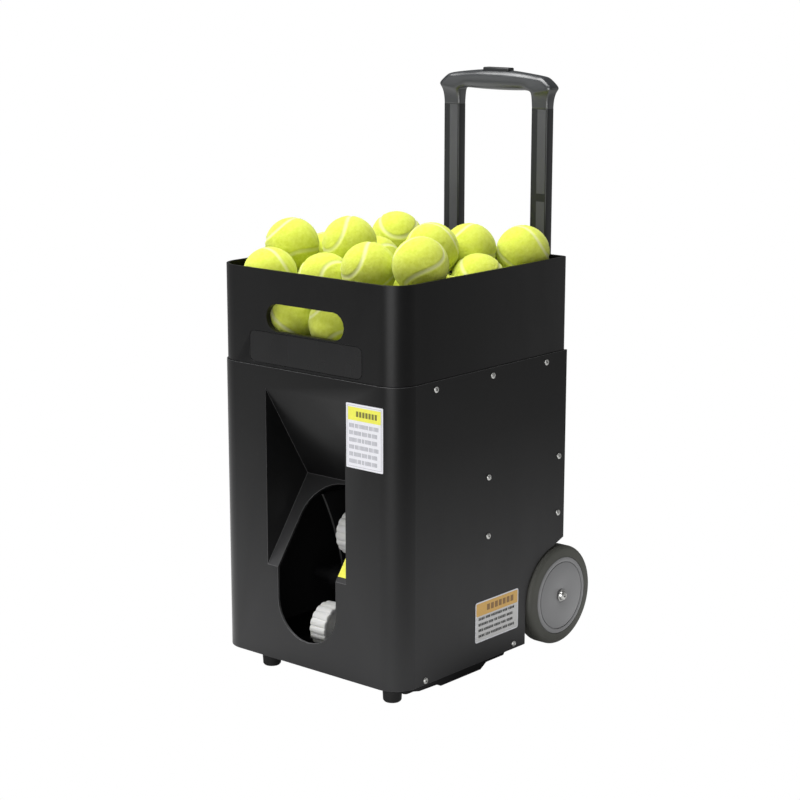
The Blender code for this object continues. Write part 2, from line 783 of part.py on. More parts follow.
def yaw_cradle():
    """The turntable and the forked cradle that the launcher tilts in, with the tilt motor."""
    table = turned(
        "turntable",
        [
            (0.0, 0.0110),
            (TURNTABLE_RADIUS, 0.0110),
            (TURNTABLE_RADIUS, 0.0073),
            (0.016, 0.0073),
            (0.016, 0.0043),
            (0.0, 0.0043),
        ],
        (0, YAW_Y, 0),
        "Z",
        MOTOR,
        48,
    )
    ride(table, YAW_AXIS)
    low_y, high_y = YAW_Y - CRADLE_HALF_DEPTH, YAW_Y + CRADLE_HALF_DEPTH
    inside, outside = CRADLE_ARM
    floor, deck = CRADLE_FLOOR
    head = PITCH_Z + CRADLE_HALF_DEPTH
    fork = box("yaw_cradle", (-outside, low_y, floor), (outside, high_y, deck), MOTOR)
    for side, sign in SIDES.items():
        near, far = sorted((sign * inside, sign * outside))
        arm = box(f"arm_{side}", (near, low_y, floor), (far, high_y, head), None)
        combine(fork, arm, "UNION")
    hole = rod("pivot_cut", (0, YAW_Y, PITCH_Z), "X", SHAFT_BORE, 0.14, None, 16)
    ride(combine(fork, hole), YAW_AXIS)
    motor = turned(
        "pitch_motor",
        [
            (0.0, 0.0),
            (0.017, 0.0),
            (0.017, -0.016),
            (0.012, -0.017),
            (0.012, -0.045),
            (0.0, -0.045),
        ],
        (-0.0525, YAW_Y, PITCH_Z),
        "X",
        MOTOR,
        24,
    )
    ride(motor, YAW_AXIS)
    return fork


def yaw_drive():
    """The rubber roller that turns the turntable by its rim, and its motor."""
    x = TURNTABLE_RADIUS + ROLLER_RADIUS + GAP
    roller = turned(
        "yaw_roller",
        [
            (0.0, 0.0118),
            (ROLLER_RADIUS, 0.0118),
            (ROLLER_RADIUS, 0.0063),
            (0.0, 0.0063),
        ],
        (x, YAW_Y, 0),
        "Z",
        RUBBER,
        28,
    )
    body = [
        (0.0, 0.050),
        (0.014, 0.050),
        (0.014, 0.016),
        (0.004, 0.0145),
        (0.004, 0.0121),
        (0.0, 0.0121),
    ]
    turned("yaw_motor", body, (x, YAW_Y, 0), "Z", MOTOR, 24)
    return roller


# Power and controls

def power_parts():
    """The battery, its strap and the control board."""
    box("battery", BATTERY_LOW, BATTERY_HIGH, DARK, 0.002)
    strap = box("battery_strap", (-0.0795, 0.080, 0.0043), (0.0795, 0.104, 0.1025), STEEL)
    room = box("strap_cut", (-0.0763, 0.07, -0.01), (0.0763, 0.12, 0.0998), None)
    combine(strap, room)
    box("control_board", (-0.055, 0.1515, 0.222), (0.055, 0.1535, 0.262), BOARD)


def control_housing():
    """The control box on the rear cover, and what it carries."""
    back = REAR + PANEL_DEPTH
    low, high = (-PANEL_HALF, REAR + GAP, PANEL_SPAN[0]), (PANEL_HALF, back, PANEL_SPAN[1])
    housing = box("control_panel", low, high, DARK, 0.002)
    for name, x in (("speed", -KNOB_X), ("feed", KNOB_X)):
        knob = [
            (0.0, 0.013),
            (0.0085, 0.013),
            (0.0100, 0.011),
            (0.0110, 0.0),
            (0.0, 0.0),
        ]
        turned(name + "_knob", knob, (x, back + GAP, KNOB_LEVEL), "Y", GREY, 28)
    pocket = box(
        "switch_pocket_cut",
        (SWITCH_X - 0.012, back - 0.004, SWITCH_LEVEL - 0.008),
        (SWITCH_X + 0.012, back + 0.010, SWITCH_LEVEL + 0.008),
        None,
    )
    combine(housing, pocket)
    well = rod("socket_cut", (SOCKET_X, back, SWITCH_LEVEL), "Y", 0.0068, 0.016, None, 24)
    combine(housing, well)
    dimple = rod("button_cut", (BUTTON_X, back, SWITCH_LEVEL), "Y", 0.0063, 0.012, None, 24)
    combine(housing, dimple)
    rocker = [
        (-0.0117, -0.0012),
        (0.0117, -0.0012),
        (0.0117, 0.0005),
        (0.0, 0.0030),
        (-0.0117, 0.0005),
    ]
    switch = plate("power_switch", [rocker], "XY", -0.0075, 0.0075, RED, origin=(0, 0, 0))
    switch.location = (SWITCH_X, back, SWITCH_LEVEL)
    ring = [
        (0.0, -0.0065),
        (0.0045, -0.0065),
        (0.0045, 0.001),
        (0.0065, 0.001),
        (0.0065, -0.0075),
        (0.0, -0.0075),
    ]
    socket = turned("charge_socket", ring, (SOCKET_X, back, SWITCH_LEVEL), "Y", DARK, 24)
    rod("sweep_button", (BUTTON_X, back - 0.0005, SWITCH_LEVEL), "Y", 0.0058, 0.006, GREY, 24)
    for piece in (housing, switch, socket):
        ride(piece, PANEL_FACE)


# Transport wheels

def transport_wheels():
    """The axle, and a tyre and a hub on each side."""
    head = [
        (0.0, 0.1575),
        (0.0040, 0.1573),
        (0.0066, 0.1555),
        (0.0070, 0.1530),
        (0.0070, 0.1518),
        (AXLE_RADIUS, 0.1518),
        (AXLE_RADIUS, -0.1518),
        (0.0070, -0.1518),
        (0.0070, -0.1530),
        (0.0066, -0.1555),
        (0.0040, -0.1573),
        (0.0, -0.1575),
    ]
    turned("wheel_axle", head, (0, AXLE_Y, AXLE_Z), "X", STEEL, 24)
    inner, outer = TYRE_SPAN
    tyre = [
        (HUB_RADIUS + GAP, outer + 0.0006),
        (0.0590, outer - 0.0002),
        (0.0618, outer - 0.0020),
        (TYRE_RADIUS, outer - 0.0058),
        (TYRE_RADIUS, inner + 0.0058),
        (0.0618, inner + 0.0020),
        (0.0590, inner + 0.0002),
        (TYRE_INNER, inner),
        (TYRE_INNER, outer - 0.0020),
        (HUB_RADIUS + GAP, outer - 0.0020),
    ]
    bore = AXLE_RADIUS + GAP
    face = HUB_FACE
    hub = [
        (HUB_RADIUS, face - 0.0008),
        (HUB_RADIUS, outer - 0.0017),
        (TYRE_INNER - GAP, outer - 0.0017),
        (TYRE_INNER - GAP, inner + 0.0010),
        (0.0420, inner + 0.0010),
        (0.0420, inner + HUB_DISH),
        (0.0120, inner + HUB_DISH),
        (0.0120, inner + 0.0005),
        (bore, inner + 0.0005),
        (bore, face + 0.0002),
        (0.0420, face + 0.0002),
        (0.0424, face - 0.0012),
        (0.0434, face - 0.0012),
        (0.0438, face + 0.0002),
        (0.0485, face),
    ]
    for side, sign in SIDES.items():
        for name, profile, finish in (("tyre", tyre, RUBBER), ("hub", hub, HUB_GREY)):
            place = (0, AXLE_Y, AXLE_Z)
            piece = turned(f"{name}_{side}", profile, place, "X", finish, 48, closed=True)
            if sign < 0:
                piece.rotation_euler = (0, -math.pi / 2, 0)


# Trolley handle

def upright(x):
    """The plan of one handle tube, with round corners."""
    half, depth, radius = TUBE_WIDTH / 2, TUBE_DEPTH / 2, 0.002
    plan = rounded_box(half, -depth, depth, radius, radius, 3)
    return [(x + across, HANDLE_Y + along) for across, along in plan]


def handle_tubes():
    """The sliding uprights, and the fixed guide tubes round them."""
    for side, sign in SIDES.items():
        x = sign * HANDLE_X
        origin = (x, HANDLE_Y, TUBE_BOTTOM)
        top = GRIP_FOOT - GAP
        name = "handle_tube_" + side
        hollow_x, hollow_y = TUBE_WIDTH / 2 - TUBE_WALL, TUBE_DEPTH / 2 - TUBE_WALL
        hollow = rectangle((x - hollow_x, HANDLE_Y - hollow_y), (x + hollow_x, HANDLE_Y + hollow_y))
        tube = plate(name, [upright(x), hollow], "XY", TUBE_BOTTOM, top, BLACK, origin)
        ride(tube, HANDLE_AXIS)
        half, depth = TUBE_WIDTH / 2 + GAP, TUBE_DEPTH / 2 + GAP
        hole = rectangle((x - half, HANDLE_Y - depth), (x + half, HANDLE_Y + depth))
        half, depth = half + GUIDE_WALL, depth + GUIDE_WALL
        skin = rectangle((x - half, HANDLE_Y - depth), (x + half, HANDLE_Y + depth))
        plate("handle_guide_" + side, [skin, hole], "XY", GUIDE_BOTTOM, GUIDE_TOP, MOTOR)


def handle_brackets():
    """The two brackets that hold the guide tubes behind the rear cover."""
    half = TUBE_WIDTH / 2 + GUIDE_WALL + 2 * GAP
    depth = TUBE_DEPTH / 2 + GUIDE_WALL + 2 * GAP
    reach = HANDLE_X + half + 0.003
    for name, low, high in (("upper", 0.333, 0.355), ("lower", 0.110, 0.132)):
        outline = rectangle((-reach, REAR + GAP), (reach, HANDLE_Y + depth + GUIDE_WALL))
        bracket = plate(f"handle_bracket_{name}", [outline], "XY", low, high, BLACK)
        for side, sign in SIDES.items():
            x = sign * HANDLE_X
            room = rectangle((x - half, HANDLE_Y - depth), (x + half, HANDLE_Y + depth))
            combine(bracket, plate(f"{name}_{side}_cut", [room], "XY", low - 0.01, high + 0.01, None))
        middle = rectangle((-0.052, REAR + 0.006), (0.052, HANDLE_Y + depth + 0.01))
        combine(bracket, plate(f"{name}_middle_cut", [middle], "XY", low - 0.01, high + 0.01, None))
        round_edges(bracket, 0.0008)


def grip():
    """The arched grip with its two sockets, and the release button in its top."""
    leg_in, leg_out = HANDLE_X - TUBE_WIDTH / 2, HANDLE_X + TUBE_WIDTH / 2
    crown = [(-0.073, HANDLE_TOP - 0.0065), (-0.044, HANDLE_TOP - 0.0022), (-0.022, HANDLE_TOP)]
    left = [
        (-leg_out, GRIP_FOOT),
        (-leg_out - 0.0008, GRIP_BOTTOM - 0.010),
        (-GRIP_HALF, GRIP_BOTTOM + 0.0020),
        (-GRIP_HALF + 0.0010, GRIP_BOTTOM + 0.0055),
    ]
    outer = left + crown + [(-x, z) for x, z in reversed(left + crown)]
    inner = [
        (leg_in, GRIP_FOOT),
        (leg_in, GRIP_BOTTOM - 0.012),
        (leg_in - 0.006, GRIP_BOTTOM),
    ]
    outline = outer + inner + [(-x, z) for x, z in reversed(inner)]
    low, high = HANDLE_Y - GRIP_DEPTH / 2, HANDLE_Y + GRIP_DEPTH / 2
    body = plate("handle_grip", [outline[::-1]], "XZ", low, high, BLACK)
    pocket = box(
        "button_pocket_cut",
        (-BUTTON_HALF - 0.0005, HANDLE_Y - 0.0065, HANDLE_TOP - 0.008),
        (BUTTON_HALF + 0.0005, HANDLE_Y + 0.0065, HANDLE_TOP + 0.01),
        None,
    )
    round_edges(body, 0.0035, 3)
    combine(body, pocket)
    button = box(
        "handle_button",
        (-BUTTON_HALF, HANDLE_Y - 0.0060, HANDLE_TOP - 0.0035),
        (BUTTON_HALF, HANDLE_Y + 0.0060, HANDLE_TOP + BUTTON_RISE),
        BLACK,
        0.0012,
    )
    return ride(body, HANDLE_AXIS), ride(button, HANDLE_AXIS)


# Labels

def labels():
    """Three blank label films: round the front corner, on the side, and on the funnel's lower wall."""
    out = LABEL_PROUD
    start, bend = FRONT_LABEL_START, SIDE - FRONT_RADIUS
    radius = FRONT_RADIUS
    centre = (bend, FRONT + FRONT_RADIUS)
    turn = 270 + math.degrees(FRONT_LABEL_WRAP / radius)
    outer = [(start, FRONT - out)] + arc(centre, radius + out, 270, turn, 3)
    inner = arc(centre, radius + GAP, turn, 270, 3) + [(start, FRONT - GAP)]
    plate("front_label", [outer + inner], "XY", *FRONT_LABEL_SPAN, LABEL)
    plate("side_label", [rectangle(*SIDE_LABEL)], "YZ", SIDE + GAP, SIDE + out, LABEL)
    film = [rectangle(*PORT_LABEL)]
    port_label = plate("port_label", film, "XY", GAP, out, LABEL_YELLOW, origin=(0, 0, 0))
    port_label.rotation_euler = (port_slope(), 0, 0)
    port_label.location = (0, FRONT, FUNNEL_BOTTOM)


def build():
    """Makes every piece."""
    front_shell()
    rear_cover()
    base_plate()
    belly_pan()
    feet()
    wheel_wells()
    hopper()
    hopper_floor()
    feed_pan()
    feed_rotor()
    feed_baffle()
    feed_motor()
    drop_tube()
    for name, place in (("upper", UPPER_WHEEL), ("lower", LOWER_WHEEL)):
        throwing_wheel(name, place)
        throwing_motor(name, place)
    guide_plate()
    motor_plate()
    ball_ramp()
    pitch_pivots()
    yaw_cradle()
    yaw_drive()
    power_parts()
    control_housing()
    transport_wheels()
    handle_tubes()
    handle_brackets()
    grip()
    labels()


build()
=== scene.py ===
"""Looks of the tennis ball machine: finishes, fine pieces, felt balls, studio light and the camera.

Everything is in metres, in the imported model's frame. Places on the machine are given in the casing's
own frame, with x and y from the casing's middle and z from its lower edge; at() turns them into the
model's frame.
"""
import json
import math

import bmesh
import bpy
import numpy as np
from mathutils import Euler, Matrix, Vector, noise

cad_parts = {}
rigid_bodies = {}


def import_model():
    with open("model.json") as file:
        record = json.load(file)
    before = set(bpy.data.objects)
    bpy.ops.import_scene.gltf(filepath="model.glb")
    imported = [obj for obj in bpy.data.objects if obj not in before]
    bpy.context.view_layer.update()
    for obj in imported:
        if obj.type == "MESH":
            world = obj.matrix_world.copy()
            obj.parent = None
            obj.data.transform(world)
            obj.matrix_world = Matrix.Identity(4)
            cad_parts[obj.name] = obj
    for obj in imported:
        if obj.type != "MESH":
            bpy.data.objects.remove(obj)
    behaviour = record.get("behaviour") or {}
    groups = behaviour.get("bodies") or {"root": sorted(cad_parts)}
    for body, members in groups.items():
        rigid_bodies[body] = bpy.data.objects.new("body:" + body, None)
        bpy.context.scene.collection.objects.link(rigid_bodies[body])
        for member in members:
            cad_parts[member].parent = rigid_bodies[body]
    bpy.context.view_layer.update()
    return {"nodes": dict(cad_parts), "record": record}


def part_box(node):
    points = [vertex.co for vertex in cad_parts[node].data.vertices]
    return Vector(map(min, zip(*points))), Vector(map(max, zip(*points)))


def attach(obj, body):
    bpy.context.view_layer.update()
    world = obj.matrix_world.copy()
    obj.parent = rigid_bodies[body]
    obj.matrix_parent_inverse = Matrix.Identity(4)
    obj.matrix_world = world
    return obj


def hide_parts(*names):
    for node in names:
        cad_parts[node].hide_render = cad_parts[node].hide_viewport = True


for old in list(bpy.data.objects):
    bpy.data.objects.remove(old, do_unlink=True)

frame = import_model()
SCENE = bpy.context.scene
BODY_OF = {
    node: body
    for body, nodes in frame["record"]["behaviour"]["bodies"].items()
    for node in nodes
}

# The casing's own frame
SHELL_LOW, SHELL_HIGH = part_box("front_shell")
DATUM = Vector((0, (SHELL_LOW.y + SHELL_HIGH.y) / 2, SHELL_LOW.z))
SIDE = SHELL_HIGH.x
FRONT = SHELL_LOW.y - DATUM.y
REAR = SHELL_HIGH.y - DATUM.y
PANEL_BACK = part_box("control_panel")[1].y - DATUM.y

# Camera, placed in the casing's frame
CAMERA_PLACE = (1.6161, -1.8771, 0.8480)
CAMERA_AZIMUTH = 40.73
CAMERA_ELEVATION = 13.57
CAMERA_LENS = 92.8
CAMERA_SHIFT = (0.008, 0.054)

# Tennis balls
BALL_RADIUS = 0.03335
SEAM_HALF_WIDTH = 0.0023
SEAM_DEPTH = 0.0005
FUZZ = 0.00045

# Light from the floor and the air
POOL_CENTRE = (-0.40, -0.45, 0.0)
POOL_LIGHT = 1.35
FAR_LIGHT = 0.40
AIR_LIGHT = 0.18

# Label films: how far the back and the face of the film, of its print and of the heading's bars stand out
FILM = (0.0001, 0.0005)
PRINT = (0.0004, 0.0006)
OVERPRINT = (0.0005, 0.0007)
PANEL_PRINT = (0.0, 0.0002)
CORNER_RADIUS = 0.030

# Painted floor light, which makes the casing lighter low down: its tone, and the heights between which it
# fades out
FLOOR_LIGHT_PAINT_TONE = (0.10, 0.10, 0.103)
FLOOR_LIGHT_PAINT_FADE = (0.02, 0.30)


def at(x, y, z):
    """A point of the casing's frame in the model's frame."""
    return DATUM + Vector((x, y, z))


# Materials

def principled(name):
    """A new material, its nodes, a function that links two sockets, and its Principled shader."""
    made = bpy.data.materials.new(name)
    made.use_nodes = True
    tree = made.node_tree
    return made, tree.nodes, tree.links.new, tree.nodes["Principled BSDF"]


def settings(node, values):
    """Sets a node's inputs by their names."""
    for name, value in values.items():
        node.inputs[name].default_value = value


def noise_of(nodes, link, scale, detail=2.0, stretch=None, roughness=0.5):
    """A noise texture in the model's metres; stretch scales each axis."""
    place = nodes.new("ShaderNodeTexCoord")
    texture = nodes.new("ShaderNodeTexNoise")
    settings(texture, {"Scale": scale, "Detail": detail, "Roughness": roughness})
    source = place.outputs["Object"]
    if stretch:
        mapping = nodes.new("ShaderNodeMapping")
        mapping.inputs["Scale"].default_value = stretch
        link(source, mapping.inputs["Vector"])
        source = mapping.outputs["Vector"]
    link(source, texture.inputs["Vector"])
    return texture.outputs["Fac"]


def spread(nodes, link, value, low, high, start=0.3, end=0.7):
    """Maps a value from start..end to low..high, and holds it there."""
    span = nodes.new("ShaderNodeMapRange")
    settings(span, {"From Min": start, "From Max": end, "To Min": low, "To Max": high})
    link(value, span.inputs["Value"])
    return span.outputs["Result"]


def blend_colours(nodes, link, factor, first, second):
    """Mixes two colours, each a colour or a socket, by a factor socket."""
    mix = nodes.new("ShaderNodeMix")
    mix.data_type = "RGBA"
    link(factor, mix.inputs["Factor"])
    for colour, socket in ((first, mix.inputs["A"]), (second, mix.inputs["B"])):
        if isinstance(colour, tuple):
            socket.default_value = (*colour, 1.0)
        else:
            link(colour, socket)
    return mix.outputs["Result"]


def bump(nodes, link, height, strength, distance):
    """A bump node that reads a height."""
    made = nodes.new("ShaderNodeBump")
    settings(made, {"Strength": strength, "Distance": distance})
    link(height, made.inputs["Height"])
    return made.outputs["Normal"]


def product(nodes, link, first, second):
    """The product of two value sockets."""
    made = nodes.new("ShaderNodeMath")
    made.operation = "MULTIPLY"
    link(first, made.inputs[0])
    link(second, made.inputs[1])
    return made.outputs["Value"]


def axis_z(nodes, link, vector):
    """The z of a vector socket."""
    made = nodes.new("ShaderNodeSeparateXYZ")
    link(vector, made.inputs["Vector"])
    return made.outputs["Z"]


def moulded(
    name, colour, roughness, grain=1100, depth=0.0001, patchy=0.12, dust=None, specular=0.5, settled=0, glow=0
):
    """Moulded plastic or rubber: grain, uneven gloss, patches, dust specks, painted floor light low down and
    inner glow.
    """
    made, nodes, link, shader = principled(name)
    patches = noise_of(nodes, link, 14, 4)
    darker = tuple(c * (1 - patchy) for c in colour)
    lighter = tuple(c * (1 + patchy) for c in colour)
    tone = blend_colours(nodes, link, spread(nodes, link, patches, 0, 1), darker, lighter)
    if dust:
        specks = noise_of(nodes, link, 160, 5, roughness=0.7)
        amount = spread(nodes, link, specks, 0.0, 0.16, 0.55, 0.8)
        tone = blend_colours(nodes, link, amount, tone, dust)
    # Painted floor light: settled sets how much lighter the faces that look sideways or up are painted low
    # down
    if settled:
        height = axis_z(nodes, link, nodes.new("ShaderNodeTexCoord").outputs["Object"])
        low_down = spread(nodes, link, height, settled, 0.0, *FLOOR_LIGHT_PAINT_FADE)
        facing = axis_z(nodes, link, nodes.new("ShaderNodeNewGeometry").outputs["Normal"])
        amount = product(nodes, link, low_down, spread(nodes, link, facing, 0.0, 4.0, -0.3, 0.9))
        tone = blend_colours(nodes, link, amount, tone, FLOOR_LIGHT_PAINT_TONE)
    link(tone, shader.inputs["Base Color"])
    smears = noise_of(nodes, link, 30, 3, (1.0, 1.0, 0.35))
    gloss = spread(nodes, link, smears, roughness - 0.05, roughness + 0.05)
    link(gloss, shader.inputs["Roughness"])
    grains = noise_of(nodes, link, grain, 3)
    link(bump(nodes, link, grains, 0.6, depth), shader.inputs["Normal"])
    settings(shader, {
        "Specular IOR Level": specular,
        "Subsurface Weight": glow,
        "Subsurface Radius": (0.012, 0.012, 0.011),
    })
    return made


def metal(name, colour, roughness, brushed=(1, 1, 1)):
    """Plated or brushed metal, with fine drawn lines and small scratches."""
    made, nodes, link, shader = principled(name)
    shader.inputs["Metallic"].default_value = 1.0
    lines = noise_of(nodes, link, 700, 4, brushed)
    worn = tuple(c * 0.72 for c in colour)
    tone = blend_colours(nodes, link, spread(nodes, link, lines, 0, 1), worn, colour)
    link(tone, shader.inputs["Base Color"])
    link(spread(nodes, link, lines, roughness - 0.06, roughness + 0.10), shader.inputs["Roughness"])
    link(bump(nodes, link, lines, 0.35, 0.00004), shader.inputs["Normal"])
    return made


def printed(name, colour):
    """Printed film: a smooth face with a faint fleck in the ink."""
    made, nodes, link, shader = principled(name)
    fleck = noise_of(nodes, link, 420, 3)
    paler = tuple(min(1.0, c * 1.05 + 0.01) for c in colour)
    tone = blend_colours(nodes, link, spread(nodes, link, fleck, 0, 1), colour, paler)
    link(tone, shader.inputs["Base Color"])
    link(spread(nodes, link, fleck, 0.34, 0.44), shader.inputs["Roughness"])
    return made


def felt():
    """Tennis ball felt: matted wool with a pale rubber seam, read from the mesh's seam attribute."""
    made, nodes, link, shader = principled("tennis_felt")
    seam = nodes.new("ShaderNodeAttribute")
    seam.attribute_name = "seam"
    clumps = noise_of(nodes, link, 210, 5, roughness=0.6)
    depth = spread(nodes, link, clumps, 0, 1)
    wool = blend_colours(nodes, link, depth, (0.60, 0.67, 0.060), (0.70, 0.77, 0.120))
    tone = blend_colours(nodes, link, seam.outputs["Fac"], wool, (0.76, 0.79, 0.36))
    link(tone, shader.inputs["Base Color"])
    settings(shader, {
        "Roughness": 0.95,
        "Specular IOR Level": 0.08,
        "Sheen Weight": 0.35,
        "Sheen Roughness": 0.5,
        "Sheen Tint": (0.95, 1.0, 0.6, 1.0),
        "Subsurface Weight": 0.12,
        "Subsurface Radius": (0.004, 0.004, 0.001),
    })
    fibres = noise_of(nodes, link, 1500, 4, roughness=0.8)
    link(bump(nodes, link, fibres, 0.5, 0.0005), shader.inputs["Normal"])
    return made


# The casing is painted lighter low down (settled), as painted light from the floor
BLACK = moulded(
    "casing_black", (0.0038, 0.0038, 0.0040), 0.37, dust=(0.022, 0.022, 0.021), specular=0.2, settled=0.26
)
PLATE_BLACK = moulded("plate_black", (0.0080, 0.0080, 0.0083), 0.30, 1500, 0.00004, specular=0.26)
# A pale tone for the front shell's rounded edges: a painted highlight along them
CASING_EDGE_HIGHLIGHT = moulded("casing_edge_highlight", (0.075, 0.075, 0.077), 0.36, 1500, 0.00003)
HANDLE_BLACK = moulded("handle_black", (0.012, 0.013, 0.014), 0.40, 1500, 0.00005, specular=0.4)
GRIP_RUBBER = moulded("grip_rubber", (0.020, 0.0225, 0.025), 0.30, 1300, 0.00008, specular=1.0)
STRIP_GREY = moulded("handle_strip", (0.064, 0.065, 0.070), 0.46, 1500, 0.00005)
INNER = moulded("inner_black", (0.004, 0.004, 0.0045), 0.62, specular=0.2)
# A pale tone for a cheek plate's front edge: a painted highlight
PAINTED_LIT_EDGE = moulded("painted_lit_edge", (0.065, 0.065, 0.065), 0.40, 1500, 0.00004)
RUBBER_BLACK = moulded("foot_rubber", (0.006, 0.006, 0.006), 0.70, 800, 0.00015, specular=0.25)
TYRE = moulded("tyre_rubber", (0.080, 0.081, 0.069), 0.66, 900, 0.00015, 0.10, (0.16, 0.15, 0.13), 0.4)
HUB = moulded("hub_plastic", (0.235, 0.236, 0.241), 0.42, 1300, 0.00006, 0.04)
WHITE = moulded("throwing_wheel_white", (0.70, 0.70, 0.685), 0.50, 700, 0.00008, 0.03, glow=0.8)
GREY = moulded("knob_grey", (0.060, 0.060, 0.063), 0.44)
BOARD = moulded("circuit_board", (0.015, 0.085, 0.040), 0.35)
RED = moulded("switch_red", (0.42, 0.018, 0.014), 0.30, 1500, 0.00003, 0.05)
STEEL = metal("zinc_steel", (0.62, 0.62, 0.60), 0.30, (1, 1, 3))
COATED = metal("coated_steel", (0.10, 0.10, 0.105), 0.42, (1, 1, 4))
MOTOR = metal("motor_can", (0.05, 0.05, 0.053), 0.45, (6, 1, 1))
PAPER = printed("label_white", (0.78, 0.78, 0.82))
PAPER_GREY = printed("label_grey", (0.64, 0.64, 0.63))
YELLOW = printed("label_yellow", (0.82, 0.80, 0.08))
ORANGE = printed("label_orange", (0.72, 0.42, 0.09))
INK = printed("label_ink", (0.27, 0.27, 0.28))
INK_BROWN = printed("label_ink_brown", (0.26, 0.13, 0.02))
INK_PALE = printed("label_ink_pale", (0.42, 0.42, 0.46))
INK_OLIVE = printed("label_ink_olive", (0.17, 0.16, 0.02))
PANEL_INK = printed("panel_ink", (0.62, 0.62, 0.60))
FELT = felt()

FINISHES = {
    "casing": BLACK,
    "inner_black": INNER,
    "tyre": TYRE,
    "feet": RUBBER_BLACK,
    "hub": HUB,
    "throwing_wheel": WHITE,
    "steel": STEEL,
    "plated_metal": COATED,
    "grey_plastic": GREY,
    "board": BOARD,
    "label": PAPER,
    "switch": RED,
}
SLOT_OF = {row["node"]: row["material_slot"] for row in frame["record"]["subparts"]}


# Building

# Edges sharper than this, in degrees, are rounded or shaded as sharp
SHARP = 35


def piece_from(name, mesh, finish, body, replaces=()):
    """Puts a mesh in the scene as a piece that rides on a body."""
    piece = bpy.data.objects.new(name, mesh)
    SCENE.collection.objects.link(piece)
    if finish:
        mesh.materials.clear()
        mesh.materials.append(finish)
    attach(piece, body)
    if replaces:
        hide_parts(*replaces)


def stand_in(node, mesh, finish=None):
    """Puts a mesh in the scene in place of a CAD node."""
    piece_from(node + "_fine", mesh, finish, BODY_OF[node], (node,))


def add_piece(name, work, finish, body, angle=SHARP):
    """Puts a bmesh in the scene as a piece."""
    piece_from(name, mesh_of(name, work, angle), finish, body)


def mesh_of(name, work, angle=SHARP):
    """A smooth-shaded mesh from a bmesh, which is freed."""
    bmesh.ops.recalc_face_normals(work, faces=work.faces)
    mesh = bpy.data.meshes.new(name)
    work.to_mesh(mesh)
    work.free()
    mesh.shade_smooth()
    mesh.set_sharp_from_angle(angle=math.radians(angle))
    return mesh


def holder_of(mesh):
    """A passing object in the scene that holds a mesh and its modifiers."""
    holder = bpy.data.objects.new("holder", mesh)
    SCENE.collection.objects.link(holder)
    return holder


def applied(holder, name):
    """The mesh of a passing object with its modifiers applied; the object is removed."""
    bpy.context.view_layer.update()
    graph = bpy.context.evaluated_depsgraph_get()
    made = bpy.data.meshes.new_from_object(holder.evaluated_get(graph))
    made.name = name
    bpy.data.objects.remove(holder)
    return made


def bevelled(mesh, width, edge_slot=-1):
    """The mesh with its sharp edges rounded, as a new mesh."""
    holder = holder_of(mesh)
    bevel = holder.modifiers.new("round_edges", "BEVEL")
    bevel.width = width
    bevel.segments = 2
    bevel.limit_method = "ANGLE"
    bevel.angle_limit = math.radians(SHARP)
    bevel.harden_normals = True
    bevel.material = edge_slot
    return applied(holder, mesh.name)


def refined(node, width, finish=None, edge=None):
    """A CAD node's shape with its flat faces whole and its edges rounded, in place of the node."""
    work = bmesh.new()
    work.from_mesh(frame["nodes"][node].data)
    bmesh.ops.remove_doubles(work, verts=work.verts, dist=0.00001)
    bmesh.ops.dissolve_limit(work, angle_limit=math.radians(0.5), verts=work.verts, edges=work.edges)
    body = mesh_of(node + "_body", work)
    body.materials.append(finish or FINISHES[SLOT_OF[node]])
    if edge:
        body.materials.append(edge)
    stand_in(node, bevelled(body, width, 1 if edge else -1))


def join_rings(work, pairs):
    """Adds the faces between each pair of equal rings of vertices."""
    for first, second in pairs:
        for i in range(len(first)):
            j = (i + 1) % len(first)
            work.faces.new((first[i], second[i], second[j], first[j]))


def add_part(work, part, place):
    """Moves a bmesh by a matrix, adds it to another and frees it."""
    bmesh.ops.transform(part, matrix=place, verts=part.verts)
    mesh = bpy.data.meshes.new("part")
    part.to_mesh(mesh)
    part.free()
    work.from_mesh(mesh)


def turned_work(profile, steps):
    """A bmesh turned about +Z from a closed ring, or an open line that starts and ends on the axis."""
    work = bmesh.new()
    turns = [math.tau * i / steps for i in range(steps)]
    rings = []
    for radius, height in profile:
        places = [(radius * math.cos(turn), radius * math.sin(turn), height) for turn in turns]
        rings.append([work.verts.new(place) for place in (places if radius else places[:1])])
    pairs = list(zip(rings, rings[1:]))
    if len(rings[0]) > 1 and len(rings[-1]) > 1:
        pairs.append((rings[-1], rings[0]))
    for first, second in pairs:
        for i in range(steps):
            j = (i + 1) % steps
            corners = [first[i % len(first)], second[i % len(second)]]
            corners += [second[j % len(second)], first[j % len(first)]]
            face = list(dict.fromkeys(corners))
            if len(face) > 2:
                work.faces.new(face)
    return work


def slab(work, low, high, radius, normal, count=5):
    """Adds a flat plate with round corners to a bmesh; low and high are its ends in the model's frame."""
    low, high = Vector(low), Vector(high)
    across, up, out = {"Y": (0, 2, 1), "Z": (0, 1, 2)}[normal]
    corners = [
        (high[across] - radius, high[up] - radius, 0),
        (low[across] + radius, high[up] - radius, 90),
        (low[across] + radius, low[up] + radius, 180),
        (high[across] - radius, low[up] + radius, 270),
    ]
    steps = count if radius else 0
    rings = []
    for level in (low[out], high[out]):
        ring = []
        for centre_across, centre_up, start in corners:
            for i in range(steps + 1):
                angle = math.radians(start + 90 * i / max(steps, 1))
                point = Vector((0, 0, 0))
                point[across] = centre_across + radius * math.cos(angle)
                point[up] = centre_up + radius * math.sin(angle)
                point[out] = level
                ring.append(work.verts.new(point))
        rings.append(ring)
    work.faces.new(rings[0])
    work.faces.new(rings[1][::-1])
    join_rings(work, [rings])


